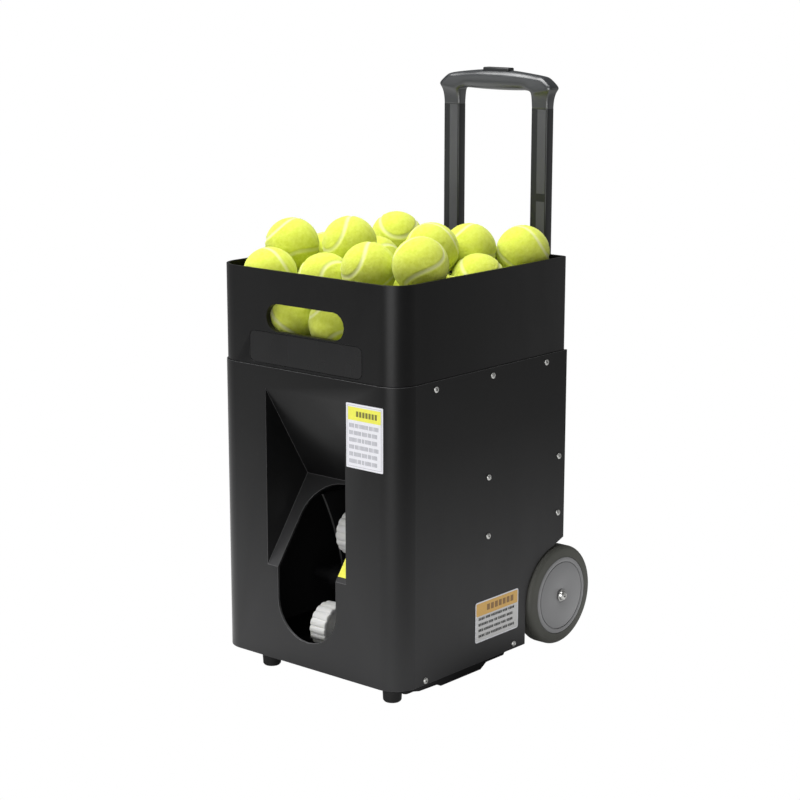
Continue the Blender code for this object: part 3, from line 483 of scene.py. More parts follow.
def cross_recess(radius, depth, top):
    """A cutter for a cross recess: two tapered bars through each other, open at z = top and above."""
    work = bmesh.new()
    half = radius * 0.17
    for turn in (0, math.pi / 2):
        made = bmesh.ops.create_cube(work, size=1.0)["verts"]
        for vertex in made:
            deep = vertex.co.z < 0
            reach = radius * (0.34 if deep else 0.62)
            vertex.co.x *= 2 * reach
            vertex.co.y *= 2 * half * (0.6 if deep else 1.0)
            vertex.co.z = top - depth if deep else top + depth
        bmesh.ops.rotate(work, verts=made, matrix=Matrix.Rotation(turn, 3, "Z"))
    return work


def cut(mesh, work, name):
    """The mesh with each body of a bmesh cut out of it, as a new mesh."""
    holder = holder_of(mesh)
    cutter = holder_of(mesh_of("cutter", work))
    boolean = holder.modifiers.new("cut", "BOOLEAN")
    boolean.object = cutter
    boolean.use_self = True
    made = applied(holder, name)
    bpy.data.objects.remove(cutter)
    made.shade_smooth()
    made.set_sharp_from_angle(angle=math.radians(SHARP))
    return made


def pan_head(radius=0.0038, height=0.0021):
    """The mesh of a pan-head screw's head with a cross recess, standing on z = 0."""
    profile = [(0.0, 0.0), (radius, 0.0), (radius, height * 0.38)]
    for i in range(1, 6):
        angle = math.radians(90 * i / 6)
        reach = radius * (0.30 + 0.70 * math.cos(angle))
        profile.append((reach, height * (0.38 + 0.62 * math.sin(angle))))
    profile.append((0.0, height))
    head = mesh_of("pan_head", turned_work(profile, 24))
    return cut(head, cross_recess(radius, height * 0.75, height), "pan_head")


# What turns a shape made about +Z to face another way
FACING = {
    "+X": Matrix.Rotation(math.pi / 2, 4, "Y"),
    "-X": Matrix.Rotation(-math.pi / 2, 4, "Y"),
    "+Y": Matrix.Rotation(-math.pi / 2, 4, "X"),
}


def screws(name, head, places, facing, finish=None):
    """A group of screws, each turned its own way, as one piece."""
    work = bmesh.new()
    for number, place in enumerate(places):
        before = len(work.verts)
        work.from_mesh(head)
        work.verts.ensure_lookup_table()
        turn = Matrix.Rotation(0.9 * number + 0.3, 4, "Z")
        moved = Matrix.Translation(place) @ FACING[facing] @ turn
        bmesh.ops.transform(work, matrix=moved, verts=work.verts[before:])
    add_piece(name, work, finish or STEEL, "root")


# Casing

# Moulded shells and sheet parts by how wide their edges are rounded
ROUNDED = (
    (0.0009, "front_shell hopper"),
    (0.0007, "rear_cover"),
    (0.0006, "belly_pan"),
    (0.0005, "base_plate"),
    (0.0006, "handle_bracket_upper handle_bracket_lower"),
    (0.0005, "control_panel feed_baffle feed_pan drop_tube"),
    (0.0004, "ball_ramp"),
    (0.0005, "guide_plate motor_plate"),
    (0.0004, "handle_guide_left handle_guide_right battery_strap"),
    (0.0005, "yaw_cradle"),
    (0.0002, "control_board"),
    (0.0008, "feed_rotor"),
)


def casing():
    """The shells, the sheet parts, the tubes and the feet, with rounded edges."""
    for width, nodes in ROUNDED:
        for node in nodes.split():
            finish = INNER if node in ("guide_plate", "motor_plate", "ball_ramp") else None
            # The front shell's rounded edges take the painted edge highlight
            refined(node, width, finish, CASING_EDGE_HIGHLIGHT if node == "front_shell" else None)
    for node in ("handle_tube_left", "handle_tube_right", "handle_button"):
        refined(node, 0.0006, HANDLE_BLACK)
    for node in ("foot_left", "foot_right"):
        refined(node, 0.0006, RUBBER_BLACK)


def corner_skids():
    """The dark rounded lips under the casing's front corners, either side of the feet."""
    for name, inner, outer in (("skid_right", 0.1345, 0.1435), ("skid_left", -0.1435, -0.1345)):
        work = bmesh.new()
        slab(work, at(inner, FRONT + 0.015, -0.0036), at(outer, FRONT + 0.075, -0.0006), 0.0044, "Z")
        piece_from(name, bevelled(mesh_of(name, work), 0.0008), INNER, "root")


def blank_plate():
    """The blank plate in the recess of the hopper's front."""
    work = bmesh.new()
    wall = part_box("hopper")[0].y - DATUM.y
    slab(work, at(-0.0886, wall + 0.0003, 0.3674), at(0.0886, wall + 0.0013, 0.4041), 0.0072, "Y")
    add_piece("blank_plate", work, PLATE_BLACK, "root")


def vent_screen():
    """The dark filter sheet behind the rear cover's vents."""
    back = REAR - 0.0036
    work = bmesh.new()
    slab(work, at(-0.042, back - 0.0015, 0.142), at(0.042, back, 0.206), 0.002, "Y")
    add_piece("vent_screen", work, INNER, "root")


def hand_slot_collar():
    """The turned-in lip round the hopper's hand slot."""
    half, tall, level, thick = 0.0615, 0.0165, 0.4232, 0.0022
    face, back = 0.0006, 0.0078
    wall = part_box("hopper")[0].y - DATUM.y
    work = bmesh.new()
    rings = []
    for reach, depth in ((tall, face), (tall, back), (tall + thick, back), (tall + thick, face)):
        ring = []
        for side in (1, -1):
            for i in range(13):
                angle = math.radians(-90 * side + 15 * i)
                x = side * (half - tall) + reach * math.cos(angle)
                ring.append(work.verts.new(at(x, wall + depth, level + reach * math.sin(angle))))
        rings.append(ring)
    join_rings(work, zip(rings, rings[1:] + rings[:1]))
    mesh = bevelled(mesh_of("hand_slot_collar", work), 0.0005)
    piece_from("hand_slot_collar", mesh, BLACK, "root")


def painted_lit_edge_strip(node):
    """A pale strip along the front edge of a cheek plate: a painted highlight where the edge catches the
    light.
    """
    work = bmesh.new()
    work.from_mesh(frame["nodes"][node].data)
    flat = [face for face in work.faces if abs(face.normal.x) > 0.5 or face.normal.y > -0.3]
    bmesh.ops.delete(work, geom=flat, context="FACES")
    skin = bmesh.ops.extrude_face_region(work, geom=work.faces[:])
    lifted = [part for part in skin["geom"] if isinstance(part, bmesh.types.BMVert)]
    bmesh.ops.translate(work, verts=lifted, vec=(0, -0.0003, 0))
    add_piece(node + "_edge", work, PAINTED_LIT_EDGE, BODY_OF[node], 60)


def keep_nodes():
    """Finishes for the CAD nodes that stay in view as they are."""
    for name, node in frame["nodes"].items():
        motor = "motor" in name and name != "motor_plate"
        node.data.materials.clear()
        node.data.materials.append(MOTOR if motor else FINISHES[SLOT_OF[name]])


def casing_screws():
    """The pan-head screws of the casing: nine on each side, and those of the rear cover and the panel."""
    head = pan_head()
    rows = [(y, 0.3533) for y in (-0.094, 0.0115, 0.1173)]
    rows += [(y, z) for z in (0.230, 0.157) for y in (0.0056, 0.1465)]
    rows += [(-0.1113, 0.0053), (0.0588, 0.0066)]
    screws("side_screws_right", head, [at(SIDE, y, z) for y, z in rows], "+X")
    screws("side_screws_left", head, [at(-SIDE, y, z) for y, z in rows], "-X")
    back = [(x, z) for z in (0.352, 0.245, 0.134) for x in (-0.130, 0.130)]
    back += [(x, 0.012) for x in (-0.105, 0.0, 0.105)]
    screws("rear_screws", head, [at(x, REAR, z) for x, z in back], "+Y")
    low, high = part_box("control_panel")
    inset = 0.006
    across, up = (low.x + inset, high.x - inset), (low.z + inset, high.z - inset)
    places = [Vector((x, high.y, z)) for x in across for z in up]
    screws("panel_screws", pan_head(0.0026, 0.0015), places, "+Y", COATED)


# Wheels

def stand_on_axle(mesh, axle, side):
    """Turns a mesh made about +Z onto the axle, facing out on its side."""
    turn = FACING["+X"] if side == "right" else FACING["-X"]
    mesh.transform(Matrix.Translation((0, axle.y, axle.z)) @ turn)


def tyre(side):
    """A tyre with round shoulders, a mould line in its middle and fine grooves beside it."""
    low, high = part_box("tyre_" + side)
    radius = (high.z - low.z) / 2
    outer, inner = (high.x, low.x) if side == "right" else (-low.x, -high.x)
    hole = radius - 0.0138
    lip = radius - 0.0174
    wall = 0.0007
    shoulder = 0.0058
    rounding = []
    for i in range(7):
        angle = math.radians(15 * i)
        inset = wall + shoulder * (1 - math.cos(angle))
        rounding.append((radius - shoulder * (1 - math.sin(angle)), inset))
    profile = [(hole, outer)] + [(reach, outer - inset) for reach, inset in rounding]
    middle = (outer + inner) / 2
    for offset in (0.0052, -0.0052):
        profile += [
            (radius, middle + offset + 0.0007),
            (radius - 0.0007, middle + offset + 0.0003),
            (radius - 0.0007, middle + offset - 0.0003),
            (radius, middle + offset - 0.0007),
        ]
        if offset > 0:
            profile += [(radius, middle + 0.0004), (radius - 0.0003, middle), (radius, middle - 0.0004)]
    profile += [(reach, inner + inset) for reach, inset in reversed(rounding)]
    profile += [(hole, inner), (lip, inner), (lip, outer - 0.0026), (hole, outer - 0.0026)]
    mesh = mesh_of("tyre_" + side, turned_work(profile, 128), 50)
    stand_on_axle(mesh, (low + high) / 2, side)
    stand_in("tyre_" + side, mesh, TYRE)


def hub(side):
    """A smooth wheel cover with a groove near its rim and a shallow dish at the bolt."""
    low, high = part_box("hub_" + side)
    radius = (high.z - low.z) / 2
    face = max(abs(low.x), abs(high.x))
    back = min(abs(low.x), abs(high.x))
    groove = radius - 0.0062
    profile = [(0.0053, back), (0.0053, face - 0.0009), (0.0088, face - 0.0009)]
    profile += [(0.0096, face - 0.0003), (0.0105, face), (groove - 0.0010, face)]
    profile += [(groove - 0.0006, face - 0.0002), (groove - 0.0004, face - 0.0014)]
    profile += [(groove + 0.0004, face - 0.0014), (groove + 0.0006, face - 0.0002), (groove + 0.0010, face)]
    profile += [(radius - 0.0012, face - 0.0001), (radius - 0.0004, face - 0.0004), (radius, face - 0.0012)]
    profile += [(radius, face - 0.0030), (radius - 0.0036, face - 0.0030), (radius - 0.0036, back)]
    mesh = mesh_of("hub_" + side, turned_work(profile, 128))
    stand_on_axle(mesh, (low + high) / 2, side)
    stand_in("hub_" + side, mesh, HUB)


def axle():
    """The axle and its two domed bolt heads with a cross recess."""
    low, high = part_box("wheel_axle")
    middle = (low + high) / 2
    half = -low.x - 0.007
    profile = [(0.0, half), (0.005, half), (0.005, -half), (0.0, -half)]
    mesh = mesh_of("axle_bar", turned_work(profile, 32))
    stand_on_axle(mesh, middle, "right")
    piece_from("wheel_axle_bar", mesh, STEEL, "root", ("wheel_axle",))
    for side, top in (("right", high.x), ("left", -low.x)):
        base = top - 0.0059
        rim = base + 0.0014
        profile = [(0.0, base), (0.0074, base), (0.0074, base + 0.0010), (0.0066, rim)]
        for i in range(1, 7):
            angle = math.radians(90 * i / 7)
            profile.append((0.0018 + 0.0046 * math.cos(angle), rim + (top - rim) * math.sin(angle)))
        profile.append((0.0, top))
        blank = mesh_of("axle_bolt", turned_work(profile, 48))
        bolt = cut(blank, cross_recess(0.0062, 0.0026, top), "axle_bolt_" + side)
        stand_on_axle(bolt, middle, side)
        piece_from("axle_bolt_" + side, bolt, STEEL, "root")


# Throwing wheels

def lobed(sections, around, lobes, depth):
    """A bmesh lofted about +Z from (radius, height, share of the lobes) sections, as a closed ring."""
    work = bmesh.new()
    rings = []
    for radius, height, share in sections:
        ring = []
        for i in range(around):
            angle = math.tau * i / around
            hollow = depth * share * (1 - abs(math.sin(angle * lobes / 2)) ** 0.6)
            reach = radius - hollow
            ring.append(work.verts.new((reach * math.cos(angle), reach * math.sin(angle), height)))
        rings.append(ring)
    join_rings(work, zip(rings, rings[1:] + rings[:1]))
    return work


def throwing_wheel(name):
    """A white wheel with a lobed rim, a dished web and a moulded boss round its shaft."""
    node = "throwing_wheel_" + name
    low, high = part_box(node)
    middle = (low + high) / 2
    radius = (high.z - low.z) / 2
    half = (high.x - low.x) / 2
    face = [(0.0046, half, 0), (0.0090, half, 0), (0.0098, half - 0.0006, 0), (0.0105, half - 0.0012, 0)]
    face += [(0.0215, half - 0.0012, 0), (0.0222, half - 0.0004, 0), (0.0228, half, 0)]
    face += [(radius - 0.0014, half, 0.5), (radius - 0.0004, half - 0.0005, 0.9), (radius, half - 0.0016, 1)]
    sections = face + [(reach, -height, share) for reach, height, share in reversed(face)]
    mesh = mesh_of(node, lobed(sections, 18 * 14, 18, 0.0017), 40)
    mesh.transform(Matrix.Translation(middle) @ FACING["+X"])
    stand_in(node, mesh, WHITE)


# Handle

def grip():
    """The arched grip: two sockets that grow out of the tubes, and a full, round bar between them."""
    low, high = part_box("handle_grip")
    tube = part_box("handle_tube_right")
    middle_y = (low.y + high.y) / 2
    depth = (high.y - low.y) / 2
    foot, top, half = low.z, high.z, high.x
    leg_in, leg_out, leg_depth = tube[0].x, tube[1].x, (tube[1].y - tube[0].y) / 2
    under = top - 0.0242
    # Outer point, inner point, half depth and boxiness of each section, from the leg to the middle
    stations = [
        ((leg_out + 0.0003, foot - 0.0008), (leg_in - 0.0003, foot - 0.0008), leg_depth + 0.0003, 0.30),
        ((leg_out + 0.0004, foot - 0.0005), (leg_in - 0.0004, foot - 0.0005), leg_depth + 0.0004, 0.35),
        ((leg_out + 0.0006, foot + 0.0090), (leg_in - 0.0006, foot + 0.0085), leg_depth + 0.0012, 0.38),
        ((leg_out + 0.0026, foot + 0.0180), (leg_in - 0.0008, foot + 0.0145), leg_depth + 0.0026, 0.42),
        ((half - 0.0008, foot + 0.0228), (leg_in - 0.0010, foot + 0.0170), depth - 0.0009, 0.45),
        ((half, foot + 0.0248), (leg_in - 0.0014, foot + 0.0184), depth - 0.0006, 0.46),
        ((half - 0.0016, foot + 0.0280), (leg_in - 0.0024, under - 0.0012), depth - 0.0004, 0.48),
        ((0.0775, top - 0.0080), (leg_in - 0.0044, under - 0.0002), depth - 0.0004, 0.52),
        ((0.0735, top - 0.0060), (leg_in - 0.0080, under), depth - 0.0006, 0.60),
        ((0.0600, top - 0.0040), (leg_in - 0.0135, under + 0.0002), depth - 0.0014, 0.80),
        ((0.0430, top - 0.0022), (0.0390, under - 0.0002), depth - 0.0010, 0.85),
        ((0.0240, top - 0.0002), (0.0220, under - 0.0008), depth, 0.85),
        ((0.0, top), (0.0, under - 0.0010), depth, 0.85),
    ]
    mirrored = [((-o[0], o[1]), (-i[0], i[1]), deep, box) for o, i, deep, box in reversed(stations[:-1])]
    around = 28
    work = bmesh.new()
    rings = []
    previous = Vector((0, 0, 0))
    for outer, inner, deep, boxiness in stations + mirrored:
        centre = Vector((outer[0] + inner[0], 0, outer[1] + inner[1])) / 2
        across = Vector((outer[0], 0, outer[1])) - centre
        if across.dot(previous) < 0:
            across = -across
        previous = across
        ring = []
        for i in range(around):
            phase = math.tau * i / around
            side = math.copysign(abs(math.cos(phase)) ** boxiness, math.cos(phase))
            front = math.copysign(abs(math.sin(phase)) ** boxiness, math.sin(phase))
            point = centre + across * side
            point.y = middle_y + deep * front
            ring.append(work.verts.new(point))
        rings.append(ring)
    join_rings(work, zip(rings, rings[1:]))
    work.faces.new(rings[0][::-1])
    work.faces.new(rings[-1])
    holder = holder_of(mesh_of("grip_cage", work, 180))
    subdivision = holder.modifiers.new("smooth", "SUBSURF")
    subdivision.levels = subdivision.render_levels = 2
    smooth = applied(holder, "handle_grip")
    button_low, button_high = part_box("handle_button")
    pocket = bmesh.new()
    room = Vector((0.0006, 0.0006, 0.003))
    slab(pocket, button_low - room, button_high + room, 0.0, "Y")
    stand_in("handle_grip", cut(smooth, pocket, "handle_grip"), GRIP_RUBBER)


def handle_strips():
    """The flat cover strips on the front of both uprights, broken by the right one's latch hole."""
    low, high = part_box("handle_tube_right")
    back, face = low.y - 0.00025, low.y + 0.0002
    foot, top = low.z + 0.01, high.z - 0.0010
    hole = DATUM.z + 0.5415
    spans = {
        "left": [(foot, top)],
        "right": [(foot, hole - 0.005), (hole + 0.005, top)],
    }
    for side, parts in spans.items():
        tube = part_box("handle_tube_" + side)
        middle = (tube[0].x + tube[1].x) / 2
        work = bmesh.new()
        for bottom, end in parts:
            slab(work, (middle - 0.0026, back, bottom), (middle + 0.0102, face, end), 0.0004, "Y", 2)
        add_piece("handle_strip_" + side, work, STRIP_GREY, "trolley_handle")


# Labels

def wrapped(x, y_out):
    """A point on the casing's front or on its round right front corner, y_out in front of it."""
    bend = SIDE - CORNER_RADIUS
    if x <= bend:
        return x, FRONT - y_out
    angle = (x - bend) / CORNER_RADIUS
    reach = CORNER_RADIUS + y_out
    return bend + reach * math.sin(angle), FRONT + CORNER_RADIUS - reach * math.cos(angle)


def on_front(across, up, out):
    """A point on the casing's front or its round right corner."""
    return at(*wrapped(across, out), up)


def on_side(across, up, out):
    """A point on the casing's right side."""
    return at(SIDE + out, across, up)


def add_film(work, place, low, high, out, radius=0.0, columns=10):
    """Adds a thin closed film to a bmesh; place turns (across, up, out) into a point."""
    stops = list(np.linspace(low[0] + radius, high[0] - radius, columns + 1))
    if radius:
        turns = [radius * (1 - math.cos(math.radians(angle))) for angle in (0, 22.5, 45, 67.5)]
        stops = [low[0] + turn for turn in turns] + stops + [high[0] - turn for turn in reversed(turns)]
    layers = []
    for level in out:
        rows = []
        for across in stops:
            away = max(0.0, radius - min(across - low[0], high[0] - across))
            drop = radius - math.sqrt(max(0.0, radius * radius - away * away))
            rows.append([work.verts.new(place(across, up, level)) for up in (low[1] + drop, high[1] - drop)])
        layers.append(rows)
    back, face = layers
    last = len(stops) - 1
    for i in range(last):
        for rows in layers:
            work.faces.new((rows[i][0], rows[i + 1][0], rows[i + 1][1], rows[i][1]))
        for end in (0, 1):
            work.faces.new((back[i][end], back[i + 1][end], face[i + 1][end], face[i][end]))
    for i in (0, last):
        work.faces.new((back[i][0], back[i][1], face[i][1], face[i][0]))


def film(name, place, low, high, out, finish, radius=0.0, replaces=()):
    """One thin printed area as a piece."""
    work = bmesh.new()
    add_film(work, place, low, high, out, radius)
    piece_from(name, mesh_of(name, work), finish, "root", replaces)


# How many bars stand together in each row, the steps of a row, and the share of a step that a bar fills
WORDS = [(4, 3, 7, 3, 4), (3, 6, 4, 3, 4), (6, 3, 2, 5, 4)]
ROW_STEPS = 23.5
BAR_SHARE = 0.72


def bars(name, place, left, right, levels, height, finish):
    """Rows of short blank bars, grouped like words, where such a label has its lines of text."""
    work = bmesh.new()
    step = (right - left) / ROW_STEPS
    for row, level in enumerate(levels):
        start = left
        for letters in WORDS[row % len(WORDS)]:
            for _ in range(letters):
                end = (start + step * BAR_SHARE, level + height)
                add_film(work, place, (start, level), end, PRINT, columns=1)
                start += step
            start += step * 0.5
    add_piece(name, work, finish, "root")


def heading_bars(name, place, low, high, share, columns, finish):
    """Seven wide blank bars between two corners, where a label's heading has its word."""
    work = bmesh.new()
    step = (high[0] - low[0]) / 7
    for i in range(7):
        start = low[0] + step * i
        add_film(work, place, (start, low[1]), (start + step * share, high[1]), OVERPRINT, columns=columns)
    add_piece(name, work, finish, "root")


def frame_lines(name, place, low, high, thickness, finish):
    """A thin printed frame."""
    work = bmesh.new()
    add_film(work, place, low, (high[0], low[1] + thickness), PRINT)
    add_film(work, place, (low[0], high[1] - thickness), high, PRINT)
    for start in (low[0], high[0] - thickness):
        end = (start + thickness, high[1] - thickness)
        add_film(work, place, (start, low[1] + thickness), end, PRINT, columns=1)
    add_piece(name, work, finish, "root")


def front_label():
    """The white film round the front corner: yellow heading, frame and rows of blank bars."""
    low, high = (0.0660, 0.2622), (0.1215, 0.3384)
    inset = 0.0022
    foot = high[1] - 0.0195
    film("front_label_film", on_front, low, high, FILM, PAPER, 0.0012, ("front_label",))
    heading = ((low[0] + 0.0030, foot), (high[0] - 0.0030, high[1] - 0.0040))
    film("front_label_heading", on_front, *heading, PRINT, YELLOW)
    border = ((low[0] + inset, low[1] + inset), (high[0] - inset, high[1] - inset))
    frame_lines("front_label_frame", on_front, *border, 0.0004, INK_PALE)
    word = ((low[0] + 0.0155, foot + 0.0045), (high[0] - 0.0070, foot + 0.0110))
    heading_bars("front_label_heading_bars", on_front, *word, 0.70, 2, INK_OLIVE)
    rows = [high[1] - 0.0282 - 0.0084 * i for i in range(6)]
    bars("front_label_rows", on_front, low[0] + 0.0048, high[0] - 0.0048, rows, 0.0048, INK_PALE)


def side_label():
    """The grey film low on the right side: white edge, orange heading and rows of blank bars."""
    low, high = (-0.0176, 0.0262), (0.0668, 0.0772)
    inset = 0.0016
    left, right = low[0] + inset, high[0] - inset
    foot = high[1] - 0.0178
    film("side_label_film", on_side, low, high, FILM, PAPER, 0.0030, ("side_label",))
    film("side_label_ground", on_side, (left, low[1] + inset), (right, foot), PRINT, PAPER_GREY, 0.0012)
    film("side_label_heading", on_side, (left, foot), (right, high[1] - inset), PRINT, ORANGE, 0.0012)
    word = ((low[0] + 0.0220, foot + 0.0045), (high[0] - 0.0080, high[1] - 0.0058))
    heading_bars("side_label_heading_bars", on_side, *word, BAR_SHARE, 1, INK_BROWN)
    rows = [low[1] + 0.0060 + 0.0072 * i for i in range(4)]
    bars("side_label_rows", on_side, low[0] + 0.0060, high[0] - 0.0060, rows, 0.0034, INK)


def port_label():
    """The yellow film on the funnel's lower wall, right of the slot."""
    refined("port_label", 0.0001, YELLOW)


# Controls

def on_panel(across, up, out):
    """A point on the control panel's face, seen from behind the machine."""
    return at(-across, PANEL_BACK + out, up)


def upright(across, up, out):
    """A point of a print that is made round the origin."""
    return Vector((across, out, up))


def panel_prints():
    """Scale ticks round both knobs, and a line under the switch, the socket and the button."""
    work = bmesh.new()
    inner = 0.0128
    for node in ("speed_knob", "feed_knob"):
        low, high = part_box(node)
        centre = (low + high) / 2 - DATUM
        for i in range(11):
            outer = inner + (0.0032 if i % 5 == 0 else 0.0020)
            tick = bmesh.new()
            add_film(tick, upright, (-0.0003, inner), (0.0003, outer), PANEL_PRINT, columns=1)
            turn = Matrix.Rotation(math.radians(-140 + 28 * i), 4, "Y")
            add_part(work, tick, Matrix.Translation(at(centre.x, PANEL_BACK, centre.z)) @ turn)
    for node in ("power_switch", "charge_socket", "sweep_button"):
        low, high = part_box(node)
        x = -(low.x + high.x) / 2
        z = low.z - DATUM.z - 0.0050
        add_film(work, on_panel, (x - 0.0040, z), (x + 0.0040, z + 0.0009), PANEL_PRINT, columns=1)
    add_piece("panel_prints", work, PANEL_INK, "root")


def knob(node):
    """A fluted knob with a dished top and a white pointer line."""
    low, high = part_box(node)
    middle = (low + high) / 2
    radius = (high.z - low.z) / 2
    tall = high.y - low.y
    sections = [(0.0006, 0.0, 0), (radius, 0.0, 0), (radius, 0.0022, 0), (radius - 0.0009, 0.0032, 1)]
    sections += [(radius - 0.0020, tall - 0.0012, 1), (radius - 0.0030, tall - 0.0002, 0.6)]
    sections += [(radius - 0.0042, tall, 0), (radius - 0.0060, tall - 0.0008, 0), (0.0006, tall - 0.0010, 0)]
    mesh = mesh_of(node, lobed(sections, 16 * 8, 16, 0.0009), 40)
    mesh.transform(Matrix.Translation((middle.x, low.y, middle.z)) @ FACING["+Y"])
    stand_in(node, mesh, GREY)
    work = bmesh.new()
    start = (middle.x - 0.0005, high.y - 0.0014, middle.z + 0.0015)
    end = (middle.x + 0.0005, high.y + 0.0001, middle.z + radius - 0.0026)
    slab(work, start, end, 0.0, "Y")
    add_piece(node + "_pointer", work, PANEL_INK, BODY_OF[node])


def switch_marks():
    """The plain on and off marks of the rocker: a bar and a ring."""
    low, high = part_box("power_switch")
    middle = (low + high) / 2
    work = bmesh.new()
    base = high.y - 0.0016
    start = (middle.x + 0.0068, base, middle.z - 0.0020)
    end = (middle.x + 0.0074, high.y - 0.0009, middle.z + 0.0020)
    slab(work, start, end, 0.0, "Y")
    ring = turned_work([(0.0013, 0.0), (0.0019, 0.0), (0.0019, 0.0007), (0.0013, 0.0007)], 32)
    add_part(work, ring, Matrix.Translation((middle.x - 0.0072, base, middle.z)) @ FACING["+Y"])
    add_piece("switch_marks", work, PANEL_INK, BODY_OF["power_switch"])


def controls():
    """The knobs, the marks and the fine edges of what the control panel carries."""
    panel_prints()
    for node in ("speed_knob", "feed_knob"):
        knob(node)
    switch_marks()
    refined("power_switch", 0.0004, RED)
    refined("sweep_button", 0.0006)
    refined("charge_socket", 0.0003, COATED)


# Tennis balls

def seam_line(count=500):
    """Points along a tennis ball's seam on the unit ball."""
    t = np.linspace(0, math.tau, count, endpoint=False)
    wide, narrow = 0.76, 0.24
    return np.stack([
        wide * np.cos(t) + narrow * np.cos(3 * t),
        wide * np.sin(t) - narrow * np.sin(3 * t),
        2 * math.sqrt(wide * narrow) * np.sin(2 * t),
    ], axis=1)


def ball_mesh(name, seed, level):
    """A felt ball, turned its own way: a sunk seam with raised edges, matted felt and a seam attribute."""
    work = bmesh.new()
    bmesh.ops.create_icosphere(work, subdivisions=level, radius=1.0)
    mesh = bpy.data.meshes.new(name)
    work.to_mesh(mesh)
    work.free()
    unit = np.array([v.co for v in mesh.vertices])
    turn = np.array(Euler((2.1 * seed, 1.3 * seed + 0.4, 0.7 * seed)).to_matrix())
    near = np.max(unit @ (seam_line() @ turn.T).T, axis=1)
    nearest = np.sqrt(np.maximum(0, 2 - 2 * near)) * BALL_RADIUS
    inside = np.clip(1.45 - nearest / SEAM_HALF_WIDTH, 0, 1)
    inside = inside * inside * (3 - 2 * inside)
    lip = np.exp(-(((nearest - SEAM_HALF_WIDTH * 1.8) / (SEAM_HALF_WIDTH * 0.6)) ** 2))
    heights = []
    for point in unit:
        spot = Vector(point) * 42 + Vector((seed * 7.3, 0, 0))
        heights.append(noise.fractal(spot, 1.0, 2.0, 3))
    fuzz = np.array(heights) * FUZZ * (1 - inside)
    radius = BALL_RADIUS - 0.0005 + fuzz + lip * 0.0002 - inside * SEAM_DEPTH
    mesh.vertices.foreach_set("co", (unit * radius[:, None]).astype(np.float32).ravel())
    attribute = mesh.attributes.new("seam", "FLOAT", "POINT")
    attribute.data.foreach_set("value", (inside * 0.85).astype(np.float32))
    mesh.shade_smooth()
    mesh.materials.append(FELT)
    return mesh


# The balls that can be seen over the rim and through the hand slot, in the casing's frame
HEAP = [
    (-0.107, -0.065, 0.494),
    (-0.089, -0.123, 0.466),
    (-0.032, -0.044, 0.500),
    (-0.022, -0.099, 0.463),
    (-0.076, 0.094, 0.489),
    (0.105, -0.075, 0.491),
    (0.056, 0.004, 0.495),
    (0.061, 0.070, 0.488),
    (0.103, 0.122, 0.484),
    (0.042, -0.093, 0.481),
    (-0.043, 0.015, 0.469),
    (0.107, 0.030, 0.460),
    (-0.107, -0.003, 0.470),
    (-0.055, -0.117, 0.4165),
    (0.0122, -0.117, 0.4185),
]
BALL_FLOOR = 0.3865
BALL_REACH = (0.1065, 0.1215)
FILL_TOP = 0.448
PACKING_STEPS = 500
SINKING_STEPS = 350
SINKING = 0.0004


def packed_balls():
    """Places of all balls: the heap, and those below it that are pushed clear of each other."""
    below = [
        (x, y, z)
        for z, shift in ((0.388, 0.0), (0.436, 0.018))
        for x in np.linspace(-0.104 + shift, 0.104, 4)
        for y in np.linspace(-0.120, 0.120 - shift, 4)
    ]
    places = np.vstack([HEAP, below])
    fixed = len(HEAP)
    size = 2 * BALL_RADIUS
    for step in range(PACKING_STEPS):
        if step < SINKING_STEPS:
            places[fixed:, 2] -= SINKING
        for i in range(len(places)):
            gap = places - places[i]
            distance = np.linalg.norm(gap, axis=1)
            distance[i] = 1.0
            for j in np.nonzero(distance < size)[0]:
                if i < fixed and j < fixed:
                    continue
                push = gap[j] / distance[j] * (size - distance[j])
                share = 1.0 if i < fixed or j < fixed else 0.5
                if j >= fixed:
                    places[j] += push * share
                if i >= fixed:
                    places[i] -= push * share
        for axis, reach in enumerate(BALL_REACH):
            places[fixed:, axis] = np.clip(places[fixed:, axis], -reach, reach)
        places[fixed:, 2] = np.maximum(places[fixed:, 2], BALL_FLOOR)
    settled = [place for place in places[fixed:] if place[2] < FILL_TOP]
    return list(places[:fixed]) + settled


def balls():
    """The felt balls in the hopper."""
    detailed = [ball_mesh(f"ball_fine_{seed}", seed, 6) for seed in range(1, 8)]
    plain = [ball_mesh(f"ball_plain_{seed}", seed, 5) for seed in range(8, 12)]
    for number, place in enumerate(packed_balls()):
        meshes = detailed if number < len(HEAP) else plain
        piece = bpy.data.objects.new(f"tennis_ball_{number:02d}", meshes[number % len(meshes)])
        SCENE.collection.objects.link(piece)
        piece.location = at(*place)
        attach(piece, "root")


# Studio

def area_light(name, place, target, size, radiance):
    """A soft rectangular light that faces a point, as bright as its radiance says."""
    light = bpy.data.lights.new(name, "AREA")
    light.shape = "RECTANGLE"
    light.size, light.size_y = size
    light.energy = radiance * math.pi * size[0] * size[1]
    lamp = bpy.data.objects.new(name, light)
    lamp.location = place
    lamp.rotation_euler = (Vector(target) - Vector(place)).to_track_quat("-Z", "Y").to_euler()
    lamp.visible_camera = False
    SCENE.collection.objects.link(lamp)
    return lamp


def round_about(azimuth, distance, height):
    """A place round the machine; azimuth 0 is in front of it, 90 on its right side."""
    angle = math.radians(azimuth)
    return (distance * math.sin(angle), -distance * math.cos(angle), height)


